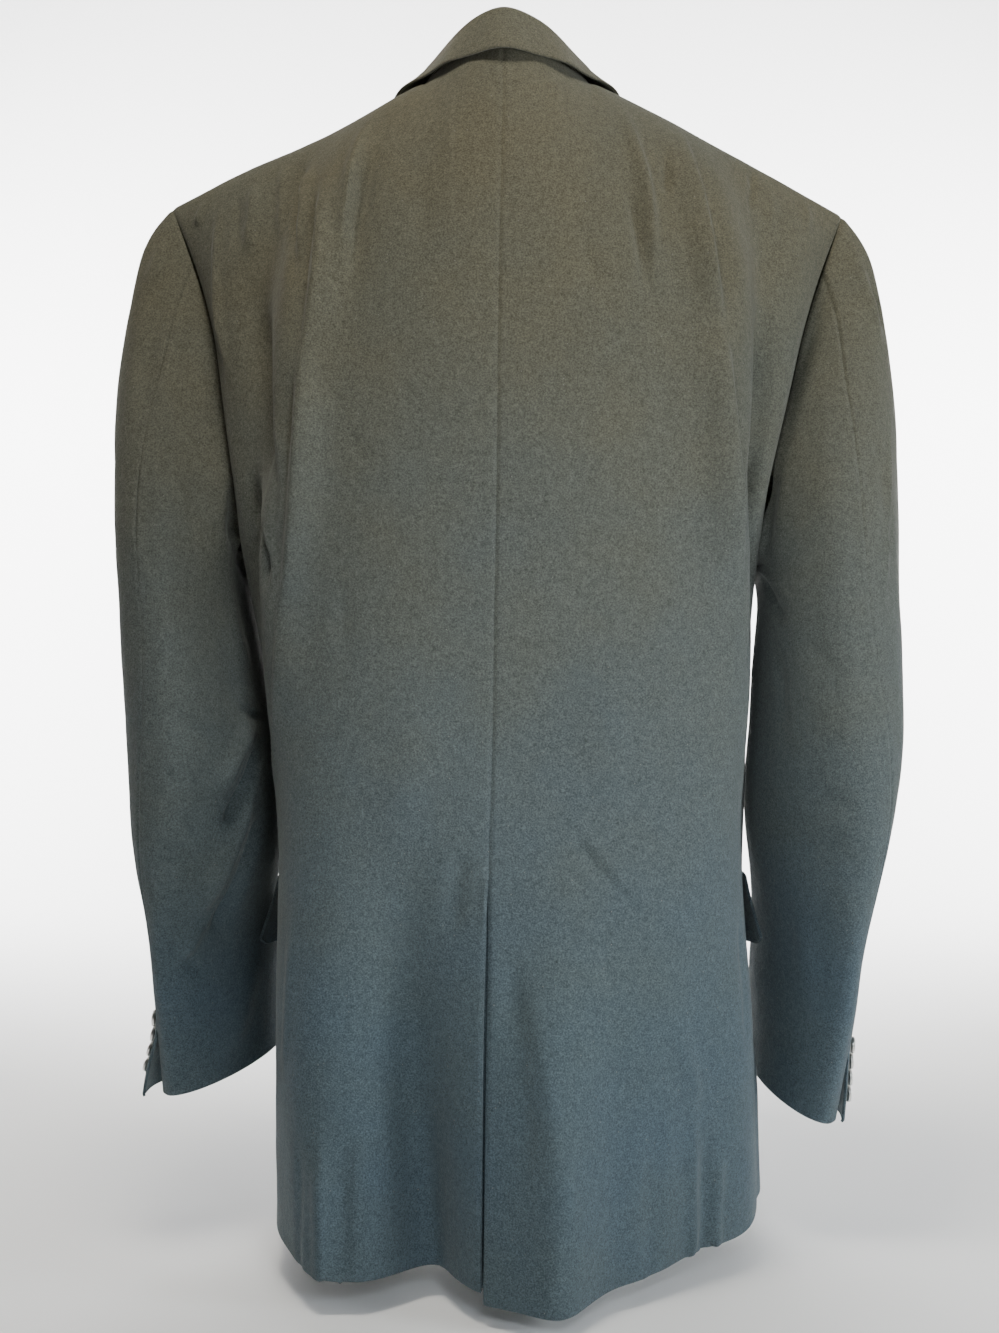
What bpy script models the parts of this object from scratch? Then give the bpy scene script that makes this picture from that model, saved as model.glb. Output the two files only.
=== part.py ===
"""A single-breasted blazer, hollow and filled out as if an unseen wearer stood in it.

Metres. The origin is the middle of the neck base, where the wearer's shoulders hold it up.
+X is the wearer's left, -Y the front, +Z up. Every cloth piece is a grid laid on a surface
that is a function of two numbers from 0 to 1, then extruded inward by the wall.
"""

import bisect
import functools
import math
from collections import namedtuple

import bmesh
import bpy
from mathutils import Matrix, Vector

# Cloth
WALL = 0.002
SEAM_GAP = 0.0003
SHOULDER_GAP = 0.0009
NECK_GAP = 0.0024
LAY_GAP = 0.0008
LEFT, RIGHT = 1, -1
SIDE_NAMES = {LEFT: "left", RIGHT: "right"}

# Lengths of the body, down from the neck
HEM_Z = -0.792
HEM_DROP = {LEFT: 0.013, RIGHT: 0.020}
ARMPIT_Z = -0.318
ARMPIT_DIP = 0.008
BLADE_Z = -0.200
VENT_TOP_Z = -0.523
BLADE_V = 0.70
NECK_C = 0.33

# Neck and shoulders
NECK_HALF = 0.061
NECK_POINT = 1.8
NECK_BACK = Vector((0.0032, 0.068, 0.018))
NECK_SIDE_Y, NECK_SIDE_Z = 0.004, 0.009
TIP_X, TIP_Y = 0.2415, -0.004
TIP_Z = {LEFT: -0.0745, RIGHT: -0.0800}
SHOULDER_SAG = {LEFT: 0.0050, RIGHT: 0.0005}
NECK_GAP_SHARE, SAG_SHARE = 0.35, 0.7
SIDE_BULGE = {LEFT: 0.006, RIGHT: 0.007}
SIDE_BULGE_TOP, SIDE_BULGE_FADE = 0.003, 0.72

# How the columns of the back and front reach the top: the way each comes in, and how far it holds that way
RISE_SHARE, OVER_SHARE = 0.5, 0.60
NAPE_WAY, NAPE_ARM, NAPE_BLEND = Vector((0, -0.40, 0.92)), 0.080, 1.2
GORGE_WAY, GORGE_ARM, GORGE_C = Vector((0.10, 0.80, 0.60)), 0.075, 0.70

# Front, lapels and collar
OVERLAP_LIFT = 0.0016
OVERLAP_BLEND = 0.050
OVERLAP_TOP_V, OVERLAP_FADE_V = 0.62, 0.08
LAPEL_ROOM = 0.0066
LAPEL_ROOM_Z, LAPEL_ROOM_SPAN = -0.390, 0.065
BREAK_Z = {LEFT: -0.440, RIGHT: -0.405}
GORGE_V = 0.86
GORGE_SLANT = 0.055
GORGE_GAP = 0.004
ROLL_RADIUS = 0.0033
LAPEL_LIFT, LAPEL_LIFT_S = 0.0018, 0.4
ROLL_SHARE = 0.22
ROLL_START = math.radians(-35)
FRONT_WIDTH = 0.20
HEM_CROWD = 0.40
NECK_SHARE = 0.45

# Vent, flaps and cuffs
VENT_OPEN = 0.0030
VENT_LIFT, VENT_LIFT_V, VENT_LIFT_C = 0.006, 0.06, 0.07
VENT_OPEN_V = 0.10
UNDERLAP_C = (-0.05, 0.10)
UNDERLAP_GAP = 0.0022
UNDERLAP_LIFT = 0.003
UNDERLAP_STEPS = 6
FLAP_Z, FLAP_DEPTH = -0.556, 0.055
FLAP_FROM, FLAP_TO = 1.55, 2.55
FLAP_CORNER = 0.12
FLAP_GAP = 0.0016
FLAP_LIE, FLAP_LIE_S, FLAP_CURL = 0.004, 0.7, 1.2
FLAP_STAND_OFF = {LEFT: 0.0145, RIGHT: 0.0110}
CUFF_VENT_W = 0.865
CUFF_FLARE = {LEFT: 0.015, RIGHT: 0.006}
FLARE_S, FLARE_POWER = 0.74, 1.3
CAP_W = 0.28
FOREARM_TURN = 0.68
SLEEVE_GIRTH, SLEEVE_SEAM_GAP = 0.36, 0.0005
HEAD_GAP = 0.0006
HEAD_SPREAD = 7.0
HEAD_OUT, HEAD_DOWN = 0.76, -0.60
HEAD_ARM, SLEEVE_ARM = 0.16, 0.45

# Buttons
Button = namedtuple("Button", "radius depth stand")
CUFF_BUTTON = Button(0.0065, 0.0028, 0.0009)
CUFF_BUTTON_S = 0.90
CUFF_BUTTON_UP, CUFF_BUTTON_PITCH = 0.018, 0.0134
CUFF_BUTTONS = 4
FRONT_BUTTON = Button(0.0100, 0.0036, 0.0004)
FRONT_BUTTON_Z = (-0.456, -0.560)
BUTTON_SIDES = 16
BUTTON_BEVEL = 0.35

# How finely rows are worked out, and about how long a row of each panel is
ROW_STEPS = 48
STEP, LOOK = 0.012, 0.05
BACK_WIDTH = 0.23
SIDE_WIDTH = 0.09

# A row of the back for each height: where its edge is on each side, and how square it turns.
Back = namedtuple("Back", "z seam_x centre_y left_x left_y right_x right_y left_square right_square")
BACK = (
    Back(-0.80, 0.0180, 0.128, 0.162, 0.020, 0.1815, -0.008, 2.1, 1.72),
    Back(-0.65, 0.0158, 0.127, 0.1605, 0.026, 0.1725, 0.015, 2.8, 2.3),
    Back(-0.52, 0.0123, 0.122, 0.157, 0.030, 0.1610, 0.028, 3.2, 3.0),
    Back(-0.43, 0.0097, 0.117, 0.166, 0.030, 0.1665, 0.030, 3.0, 3.2),
    Back(-0.35, 0.0085, 0.120, 0.181, 0.032, 0.1730, 0.032, 2.5, 2.7),
    Back(ARMPIT_Z, 0.0078, 0.122, 0.1865, 0.034, 0.1770, 0.034, 2.4, 2.55),
    Back(-0.28, 0.0073, 0.123, 0.190, 0.036, 0.1820, 0.036, 2.3, 2.4),
    Back(-0.24, 0.0069, 0.123, 0.1955, 0.034, 0.191, 0.034, 2.2, 2.2),
    Back(BLADE_Z, 0.0065, 0.121, 0.2015, 0.028, 0.2005, 0.028, 2.1, 2.1),
)

# A row of the front for each height. Its free edge runs out past the middle, then along the roll.
Front = namedtuple("Front", "z edge_y left_x right_x centre_y square free_x")
FRONT = (
    Front(-0.800, -0.058, 0.1610, 0.1790, -0.142, 2.5, 0.090),
    Front(-0.788, -0.058, 0.1610, 0.1785, -0.142, 2.5, 0.062),
    Front(-0.770, -0.058, 0.1605, 0.1775, -0.142, 2.5, 0.037),
    Front(-0.735, -0.058, 0.1600, 0.1765, -0.142, 2.5, 0.014),
    Front(-0.690, -0.058, 0.1595, 0.1725, -0.141, 2.6, -0.002),
    Front(-0.600, -0.058, 0.1580, 0.1670, -0.140, 2.6, -0.017),
    Front(-0.44, -0.058, 0.163, 0.167, -0.135, 2.6, -0.020),
    Front(-0.38, -0.058, 0.174, 0.173, -0.135, 2.6, -0.012),
    Front(ARMPIT_Z, -0.060, 0.182, 0.1740, -0.137, 2.6, 0.006),
    Front(-0.28, -0.074, 0.183, 0.1735, -0.138, 2.5, 0.018),
    Front(-0.24, -0.077, 0.184, 0.179, -0.136, 2.4, 0.030),
    Front(BLADE_Z, -0.068, 0.188, 0.188, -0.131, 2.4, 0.042),
)

# A row for each large fold of the back: where it runs, how high it stands and how wide it is.
Fold = namedtuple("Fold", "side low_v high_v low_c high_c fade_low fade_high height width")
FOLD_EDGE_C = 0.10
BACK_FOLDS = (
    Fold(LEFT, 0.40, 0.99, 0.76, 0.41, 0.16, 0.24, 0.0090, 0.090),
    Fold(LEFT, 0.42, 0.97, 0.92, 0.60, 0.14, 0.22, -0.0120, 0.085),
    Fold(LEFT, -0.20, 0.46, 0.52, 0.62, 0.01, 0.44, 0.0120, 0.14),
    Fold(LEFT, -0.20, 0.40, 0.19, 0.29, 0.01, 0.38, -0.0420, 0.13),
    Fold(RIGHT, 0.40, 0.99, 0.78, 0.50, 0.16, 0.24, 0.0090, 0.090),
    Fold(RIGHT, 0.42, 0.97, 0.93, 0.68, 0.14, 0.22, -0.0110, 0.080),
    Fold(RIGHT, -0.20, 0.325, 0.17, 0.22, 0.01, 0.30, 0.0300, 0.105),
    Fold(RIGHT, -0.20, 0.36, 0.62, 0.60, 0.01, 0.34, -0.0080, 0.14),
    Fold(RIGHT, -0.20, 0.40, 0.80, 0.80, 0.01, 0.34, 0.0030, 0.07),
)

# A row for each ring of a sleeve below its head, down to the cuff. A skewed ring's front lies further in.
Ring = namedtuple("Ring", "w x y z half_x half_y skew tilt pitch")
SLEEVE = {
    LEFT: (
        Ring(CAP_W, 0.2310, -0.006, -0.345, 0.0455, 0.074, 0.010, 0.030, 0.000),
        Ring(0.50, 0.2190, -0.002, -0.455, 0.0485, 0.069, 0.012, 0.012, 0.002),
        Ring(0.64, 0.2158, -0.006, -0.525, 0.0445, 0.066, 0.018, 0.003, 0.005),
        Ring(0.78, 0.2130, -0.022, -0.600, 0.0275, 0.061, 0.027, -0.003, 0.009),
        Ring(1.00, 0.2120, -0.050, -0.702, 0.0310, 0.054, 0.024, -0.005, 0.011),
    ),
    RIGHT: (
        Ring(CAP_W, 0.2320, -0.006, -0.345, 0.0490, 0.074, 0.000, 0.030, 0.000),
        Ring(0.50, 0.2285, -0.002, -0.455, 0.0490, 0.070, 0.012, 0.012, 0.002),
        Ring(0.64, 0.2235, -0.006, -0.525, 0.0400, 0.066, 0.020, 0.003, 0.005),
        Ring(0.80, 0.2180, -0.024, -0.615, 0.0250, 0.061, 0.020, -0.003, 0.009),
        Ring(1.00, 0.2145, -0.052, -0.721, 0.0255, 0.056, 0.011, -0.006, 0.012),
    ),
}
Seam = namedtuple("Seam", "w turn")
HINDARM = (Seam(0.0, 0.150), Seam(0.14, 0.205), Seam(0.30, 0.210), Seam(0.60, 0.165), Seam(1.0, 0.145))

# A row for each section of a lapel up its roll, and of the collar from the centre back to the gorge.
Lapel = namedtuple("Lapel", "s width")
LAPEL = (Lapel(0.0, 0.012), Lapel(0.30, 0.046), Lapel(0.70, 0.080), Lapel(1.0, 0.092))
Collar = namedtuple("Collar", "k stand radius lean rise leaf_c leaf_v leaf_lift")
LeafEdge = namedtuple("LeafEdge", "k x y z")
COLLAR = (
    Collar(0.00, 0.0270, 0.0034, 0.50, 0.87, 0.00, 0.986, 0.0068),
    Collar(0.16, 0.0220, 0.0036, 0.52, 0.85, 0.125, 0.982, 0.0060),
    Collar(0.32, 0.0115, 0.0038, 0.60, 0.80, 0.243, 0.976, 0.0050),
    Collar(NECK_SHARE, 0.0070, 0.0042, 0.60, 0.80, 0.380, 0.988, 0.0060),
    Collar(0.60, 0.0050, 0.0042, 0.75, 0.60, 0.83, 0.966, 0.0060),
    Collar(0.80, 0.0030, 0.0040, 0.80, 0.40, 0.75, 0.915, 0.0058),
    Collar(1.00, 0.0020, 0.0036, 0.80, 0.30, 0.76, 0.862, 0.0056),
)
COLLAR_PARTS = (0.26, 0.56)
COLLAR_GAP = 0.0012
COLLAR_TURN_K = 0.35
NECK_AXIS_Y = 0.02


def ease(x):
    """Nought to one with a soft start and end."""
    x = min(max(x, 0.0), 1.0)
    return x * x * (3 - 2 * x)


def bump(x):
    return math.exp(-x * x)


def mix(a, b, t):
    return a + (b - a) * t


def smooth(rows, column, at):
    """One column of a table between its rows, on a curve that never swings past them."""
    keys = [row[0] for row in rows]
    values = [getattr(row, column) for row in rows]
    at = min(max(at, keys[0]), keys[-1])
    last = len(keys) - 1
    i = min(bisect.bisect_right(keys, at) - 1, last - 1)
    rises = [(values[j + 1] - values[j]) / (keys[j + 1] - keys[j]) for j in range(last)]

    def slope(j):
        if j in (0, last):
            return rises[min(j, last - 1)]
        before, after = rises[j - 1], rises[j]
        return 2 * before * after / (before + after) if before * after > 0 else 0.0

    span = keys[i + 1] - keys[i]
    t = (at - keys[i]) / span
    return (
        values[i] * (1 + 2 * t) * (1 - t) ** 2
        + slope(i) * span * t * (1 - t) ** 2
        + values[i + 1] * t * t * (3 - 2 * t)
        + slope(i + 1) * span * t * t * (t - 1)
    )


def bezier(p0, p1, p2, p3, t):
    u = 1 - t
    return p0 * u**3 + p1 * (3 * u * u * t) + p2 * (3 * u * t * t) + p3 * t**3


def measured(points):
    """Points with how far along each one is, as shares of the whole."""
    lengths = [0.0]
    for a, b in zip(points, points[1:]):
        lengths.append(lengths[-1] + (b - a).length)
    return points, [length / lengths[-1] for length in lengths]


def along(row, share):
    points, shares = row
    i = min(max(bisect.bisect_right(shares, share) - 1, 0), len(points) - 2)
    return points[i].lerp(points[i + 1], (share - shares[i]) / (shares[i + 1] - shares[i]))


def normal(surface, s, t, facing=1):
    """The direction square to a surface, from points a little way off on each side."""
    across = surface(min(s + STEP, 1), t) - surface(max(s - STEP, 0), t)
    up = surface(s, min(t + STEP, 1)) - surface(s, max(t - STEP, 0))
    return (up.cross(across) * facing).normalized()


def height_of(v):
    return mix(HEM_Z, BLADE_Z, v / BLADE_V)


def v_of(z):
    return BLADE_V * (z - HEM_Z) / (BLADE_Z - HEM_Z)


ARMPIT_V = v_of(ARMPIT_Z)
VENT_V = v_of(VENT_TOP_Z)


@functools.lru_cache(maxsize=None)
def back_row(side, z):
    """The back at one height, from the centre seam to its edge."""
    name = SIDE_NAMES[side]
    seam = Vector((smooth(BACK, "seam_x", z), smooth(BACK, "centre_y", z), z))
    edge = Vector((side * smooth(BACK, name + "_x", z), smooth(BACK, name + "_y", z), z))
    power = 2 / smooth(BACK, name + "_square", z)
    points = []
    for i in range(ROW_STEPS + 1):
        turn = i / ROW_STEPS * math.pi / 2
        out, deep = math.sin(turn) ** power, max(math.cos(turn), 0) ** power
        points.append(Vector((mix(seam.x, edge.x, out), mix(edge.y, seam.y, deep), z)))
    return measured(points)


@functools.lru_cache(maxsize=None)
def front_row(side, z):
    """The front at one height, from its edge under the arm to its free edge."""
    edge_x = smooth(FRONT, SIDE_NAMES[side] + "_x", z)
    edge_y, centre_y = smooth(FRONT, "edge_y", z), smooth(FRONT, "centre_y", z)
    square = smooth(FRONT, "square", z)
    free = smooth(FRONT, "free_x", z) / edge_x
    points = []
    for i in range(ROW_STEPS + 1):
        out = mix(free, 1.0, math.cos(i / ROW_STEPS * math.pi / 2) ** 0.8)
        deep = max(1 - abs(out) ** square, 0) ** (1 / square)
        points.append(Vector((side * edge_x * out, mix(edge_y, centre_y, deep), z)))
    return measured(points)


def shoulder(side, share, facing):
    """A point beside the shoulder seam, from the neck to the tip, on its back (1) or front (-1)."""
    away = facing * mix(NECK_GAP, SHOULDER_GAP, ease(share / NECK_GAP_SHARE)) / 2
    sag = SHOULDER_SAG[side] * math.sin(math.pi * min(share / SAG_SHARE, 1))
    return Vector(
        (
            side * mix(NECK_HALF, TIP_X, share),
            mix(NECK_SIDE_Y, TIP_Y, share) + away,
            mix(NECK_SIDE_Z, TIP_Z[side], share) - sag,
        )
    )


def back_top(side, c):
    """The back's top edge: round the neck, then out along the shoulder."""
    if c > NECK_C:
        return shoulder(side, (c - NECK_C) / (1 - NECK_C), 1)
    turn = c / NECK_C * math.pi / 2
    return Vector(
        (
            mix(NECK_BACK.x, side * NECK_HALF, math.sin(turn)),
            mix(NECK_SIDE_Y + NECK_GAP / 2, NECK_BACK.y, math.cos(turn) ** NECK_POINT),
            mix(NECK_SIDE_Z, NECK_BACK.z, math.cos(turn) ** NECK_POINT),
        )
    )


def rise(row, side, share, z):
    """How a column leans as it leaves the level rows for the shoulder."""
    return (along(row(side, z), share) - along(row(side, z - STEP), share)) / STEP


def back_base(side, c, v):
    """The back without folds: c from the centre seam to the edge, v from the hem to the top."""
    if v <= BLADE_V:
        point = along(back_row(side, height_of(v)), c).copy()
        point.z -= HEM_DROP[side] * (1 - c * c) * (1 - ease(v / BLADE_V))
        return point
    start, end = along(back_row(side, BLADE_Z), c), back_top(side, c)
    over = ease(c / (NECK_C * NAPE_BLEND))
    lift = rise(back_row, side, c, BLADE_Z) * (RISE_SHARE * (end.z - start.z))
    arrive = NAPE_WAY.lerp(Vector((0, -1, 0)), over).normalized()
    arm = mix(NAPE_ARM, OVER_SHARE * abs(start.y - end.y), over)
    return bezier(start, start + lift, end - arrive * arm, end, (v - BLADE_V) / (1 - BLADE_V))


def front_base(side, c, v):
    """The front without its overlap: c from the edge under the arm to the free edge."""
    if v <= BLADE_V:
        return along(front_row(side, height_of(v)), c).copy()
    start, end = along(front_row(side, BLADE_Z), c), shoulder(side, 1 - c, -1)
    over = ease((c - GORGE_C) / (1 - GORGE_C))
    lift = rise(front_row, side, c, BLADE_Z) * (RISE_SHARE * (end.z - start.z))
    gorge_way = Vector((side * GORGE_WAY.x, GORGE_WAY.y, GORGE_WAY.z))
    arrive = Vector((0, 1, 0)).lerp(gorge_way, over).normalized()
    arm = mix(OVER_SHARE * abs(start.y - end.y), GORGE_ARM, over)
    return bezier(start, start + lift, end - arrive * arm, end, (v - BLADE_V) / (1 - BLADE_V))


def back_fold(side, c, v):
    """How far the folds carry the back out at one place."""
    total = 0.0
    for fold in BACK_FOLDS:
        if fold.side != side or not fold.low_v < v < fold.high_v:
            continue
        share = (v - max(fold.low_v, 0)) / (fold.high_v - max(fold.low_v, 0))
        ends = ease((v - fold.low_v) / fold.fade_low) * ease((fold.high_v - v) / fold.fade_high)
        middle = mix(fold.low_c, fold.high_c, share)
        total += fold.height * ends * bump((c - middle) / fold.width)
    if side == LEFT:
        total += VENT_LIFT * ease((VENT_V - v) / VENT_LIFT_V) * bump(c / VENT_LIFT_C)
    return total * ease((1 - c) / FOLD_EDGE_C)


def back(side, c, v):
    """The back's outer face."""
    base = functools.partial(back_base, side)
    return base(c, v) + normal(base, c, v, side) * back_fold(side, c, v)


def front(side, c, v):
    """The front's outer face, the left one lapping over the right."""
    base = functools.partial(front_base, side)
    point = base(c, v)
    over = ease((OVERLAP_BLEND - side * point.x) / OVERLAP_BLEND)
    lapped = over * (1 - ease((v - OVERLAP_TOP_V) / OVERLAP_FADE_V))
    room = LAPEL_ROOM * bump((point.z - LAPEL_ROOM_Z) / LAPEL_ROOM_SPAN) if side == LEFT else 0.0
    return point + normal(base, c, v, side) * (lapped * (side * OVERLAP_LIFT + room))


def side_body(side, c, t):
    """The side panel's outer face: c from the back seam to the front seam, t from the hem up."""
    v = mix(0, ARMPIT_V, t)
    z = height_of(v) - ARMPIT_DIP * math.sin(math.pi * c) * t**8
    a = along(back_row(side, z), 1.0)
    b = along(front_row(side, z), 0.0)
    point = a.lerp(b, c)
    bulge = mix(SIDE_BULGE[side], SIDE_BULGE_TOP, ease((t - SIDE_BULGE_FADE) / (1 - SIDE_BULGE_FADE)))
    point.x += side * bulge * math.sin(math.pi * c) ** 2
    return point


def armhole(side, turn):
    """The armhole from the shoulder tip (0) down the back, under the arm (0.5) and up the front."""
    turn %= 1.0
    if turn < 0.4:
        return back_base(side, 1.0, mix(1.0, ARMPIT_V, turn / 0.4))
    if turn < 0.6:
        return side_body(side, (turn - 0.4) / 0.2, 1.0)
    return front_base(side, 0.0, mix(ARMPIT_V, 1.0, (turn - 0.6) / 0.4))


def sleeve_ring(side, turn, w):
    """A point of the sleeve below its head."""
    rows = SLEEVE[side]
    x, y, z, half_x, half_y, skew, tilt, pitch = (smooth(rows, name, w) for name in Ring._fields[1:])
    angle = turn * 2 * math.pi
    return Vector(
        (
            side * (x + half_x * math.cos(angle) + skew * math.sin(angle)),
            y + half_y * math.sin(angle),
            z + tilt * math.cos(angle) - pitch * math.sin(angle),
        )
    )


def sleeve(side, turn, w):
    """The sleeve's outer face: turn from its outer line round the back, w from armhole to cuff."""
    if w >= CAP_W:
        return sleeve_ring(side, turn, w)
    start, end = armhole(side, turn), sleeve_ring(side, turn, CAP_W)
    middle_y = (armhole(side, 0.25).y + armhole(side, 0.75).y) / 2
    away = Vector((side * HEAD_OUT, HEAD_SPREAD * (start.y - middle_y), HEAD_DOWN))
    down = (sleeve_ring(side, turn, CAP_W + 0.04) - end).normalized()
    span = (end - start).length
    away.normalize()
    start = start + away * HEAD_GAP
    leave, arrive = start + away * (HEAD_ARM * span), end - down * (SLEEVE_ARM * span)
    return bezier(start, leave, arrive, end, w / CAP_W)


def hindarm(w):
    return smooth(HINDARM, "turn", w)


def seam_turn():
    return SLEEVE_SEAM_GAP / 2 / SLEEVE_GIRTH


def sleeve_top(side, s, w):
    """The top sleeve, from the forearm seam over the outside to the hindarm seam, flared at its vent."""
    turn = mix(FOREARM_TURN - 1 + seam_turn(), hindarm(w) - seam_turn(), s)
    point = sleeve(side, turn, w)
    low = ease((w - CUFF_VENT_W) / (1 - CUFF_VENT_W)) ** FLARE_POWER
    flare = CUFF_FLARE[side] * low * ease((s - FLARE_S) / (1 - FLARE_S))
    if flare:
        shape = functools.partial(sleeve, side)
        point += normal(shape, turn, w, side) * flare
    return point


def sleeve_under(side, s, w):
    turn = mix(hindarm(w) + seam_turn(), FOREARM_TURN - seam_turn(), s)
    return sleeve(side, turn, w)


def girth(side, g, z):
    """A point round the body at one height: 0 to 1 the back, 1 to 2 the side, 2 to 3 the front."""
    v = v_of(z)
    if g < 1:
        return back(side, g, v)
    if g < 2:
        return side_body(side, g - 1, v / ARMPIT_V)
    return front(side, g - 2, v)


def flap(side, s, t):
    """A pocket flap, lying on the front at its top and standing off at its rear corner."""
    drop = FLAP_DEPTH * t * (1 - FLAP_CORNER * abs(2 * s - 1) ** 8)
    g = mix(FLAP_FROM, FLAP_TO, s)
    ring = functools.partial(girth, side)
    point = ring(g, FLAP_Z - drop)
    ahead = ring(g + LOOK, FLAP_Z - drop) - ring(g - LOOK, FLAP_Z - drop)
    out = Vector((0, 0, 1)).cross(ahead).normalized() * side
    stand_off = mix(FLAP_STAND_OFF[side], FLAP_LIE, ease(s / FLAP_LIE_S)) * t**FLAP_CURL
    return point + out * (WALL + FLAP_GAP + stand_off)


def lapel(side, s, t):
    """A lapel: it rolls over the front's free edge and lies on the front."""
    v = mix(v_of(BREAK_Z[side]), GORGE_V, s) - GORGE_SLANT * s * s * max(t - ROLL_SHARE, 0) - GORGE_GAP
    shape = functools.partial(front, side)
    share = max(t - ROLL_SHARE, 0) / (1 - ROLL_SHARE)
    c = 1 - share * smooth(LAPEL, "width", s) / FRONT_WIDTH
    out = normal(shape, c, v, side)
    lie = WALL + LAY_GAP + LAPEL_LIFT * ease(s / LAPEL_LIFT_S)
    if t >= ROLL_SHARE:
        return shape(c, v) + out * lie
    beyond = (shape(1.0, v) - shape(1 - STEP, v)).normalized()
    angle = mix(ROLL_START, math.pi / 2, t / ROLL_SHARE)
    centre = shape(1.0, v) + out * (lie - ROLL_RADIUS)
    return centre + (beyond * math.cos(angle) + out * math.sin(angle)) * ROLL_RADIUS


def leaf_edge(side, row):
    """Where one section of the collar's leaf ends: a panel's point, moved out."""
    if row.k <= NECK_SHARE:
        shape = functools.partial(back, side)
    else:
        shape = functools.partial(front, side)
    return shape(row.leaf_c, row.leaf_v) + normal(shape, row.leaf_c, row.leaf_v, side) * row.leaf_lift


@functools.lru_cache(maxsize=None)
def leaf_rows(side):
    return [LeafEdge(row.k, *leaf_edge(side, row)) for row in COLLAR]



def neckline(side, k):
    """A panel, and the place on its edge, that the collar is sewn to at one section."""
    if k <= NECK_SHARE:
        return functools.partial(back, side), NECK_C * k / NECK_SHARE, 1.0
    share = (k - NECK_SHARE) / (1 - NECK_SHARE)
    return functools.partial(front, side), 1.0, mix(1.0, GORGE_V, share)


def foot_of(side, k):
    shape, c, v = neckline(side, min(max(k, 0.0), 1.0))
    return shape(c, v)


def collar_section(side, k):
    """The collar at one section: its foot, the way its stand rises, the way it folds and its leaf's edge."""
    edge = Vector([smooth(leaf_rows(side), axis, k) for axis in "xyz"])
    shape, c, v = neckline(side, k)
    foot = shape(c, v)
    neckward = Vector((-foot.x, NECK_AXIS_Y - foot.y, 0)).normalized() * smooth(COLLAR, "lean", k)
    up = (neckward + Vector((0, 0, smooth(COLLAR, "rise", k)))).normalized()
    if k > NECK_SHARE:
        beyond = (shape(1.0, v) - shape(1 - STEP, v)).normalized()
        up = up.lerp(beyond, ease((k - NECK_SHARE) / COLLAR_TURN_K)).normalized()
    way = Vector((side, 0, 0)) if k < STEP else foot_of(side, k + LOOK) - foot_of(side, k - LOOK)
    up = (up - way * (up.dot(way) / way.length_squared)).normalized()
    over = way.cross(up).normalized()
    return foot, up, over * math.copysign(1, over.dot(edge - foot)), edge


def collar(s, t):
    """The collar: its stand rises from the neck, folds over and falls to the leaf's edge."""
    k = abs(2 * s - 1)
    side = LEFT if s >= 0.5 else RIGHT
    foot, up, over, edge = collar_section(side, k)
    radius = smooth(COLLAR, "radius", k)
    start = foot + up * COLLAR_GAP - over * WALL
    centre = start + up * smooth(COLLAR, "stand", k) + over * radius
    stand_end, arc_end = COLLAR_PARTS
    if t < stand_end:
        return start.lerp(centre - over * radius, t / stand_end)
    if t > arc_end:
        return (centre + over * radius).lerp(edge, (t - arc_end) / (1 - arc_end))
    angle = math.pi * (t - stand_end) / (arc_end - stand_end)
    return centre + (up * math.sin(angle) - over * math.cos(angle)) * radius


def clear_scene():
    for thing in list(bpy.data.objects):
        bpy.data.objects.remove(thing)


def finish(name, colour, roughness, metallic=0.0):
    material = bpy.data.materials.new(name)
    material.use_nodes = True
    shader = material.node_tree.nodes["Principled BSDF"]
    shader.inputs["Base Color"].default_value = (*colour, 1)
    shader.inputs["Roughness"].default_value = roughness
    shader.inputs["Metallic"].default_value = metallic
    return material


def back_panel(side, s, t):
    """The back between its seams, held open along the vent."""
    v = t
    vent = VENT_OPEN * ease((VENT_V - v) / VENT_OPEN_V)
    c = mix((SEAM_GAP + vent) / 2 / BACK_WIDTH, 1 - SEAM_GAP / 2 / BACK_WIDTH, s)
    return back(side, c, v)


def front_panel(side, s, t):
    v = mix(t, t * t, HEM_CROWD)
    return front(side, mix(SEAM_GAP / 2 / FRONT_WIDTH, 1.0, s), v)


def side_panel(side, s, t):
    inset = SEAM_GAP / 2 / SIDE_WIDTH
    return side_body(side, mix(inset, 1 - inset, s), t)


def underlap(s, t):
    """The strip behind the vent: straight across, and as deep as the backs over it need."""
    v = mix(0.0, VENT_V, t)

    def face(share):
        c = mix(*UNDERLAP_C, share)
        return back(LEFT if c >= 0 else RIGHT, abs(c), v)

    right, left = face(0.0), face(1.0)
    shares = [i / UNDERLAP_STEPS for i in range(UNDERLAP_STEPS + 1)]
    deep = min(face(share).y - mix(right.y, left.y, share) for share in shares)
    return right.lerp(left, s) + Vector((0, deep - WALL - UNDERLAP_GAP, UNDERLAP_LIFT))


def c_at(side, x, z):
    """The place across a front where it is a given way out from the middle."""
    low, high = 0.0, 1.0
    for _ in range(30):
        c = (low + high) / 2
        low, high = (c, high) if side * front(side, c, v_of(z)).x > x else (low, c)
    return c


def add_cloth(name, surface, across, along_it, facing, material):
    """A cloth piece: a grid laid on its surface, extruded and moved in by the wall."""
    mesh = bmesh.new()
    bmesh.ops.create_grid(mesh, x_segments=across, y_segments=along_it, size=0.5)
    outer = list(mesh.verts)
    made = bmesh.ops.extrude_face_region(mesh, geom=mesh.faces[:], use_keep_orig=True)["geom"]
    inner = [vert for vert in made if isinstance(vert, bmesh.types.BMVert)]
    for verts, deep in ((outer, 0.0), (inner, WALL)):
        for vert in verts:
            s, t = vert.co.x + 0.5, vert.co.y + 0.5
            vert.co = surface(s, t) - normal(surface, s, t, facing) * deep
    return add_mesh(name, mesh, material)


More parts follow.
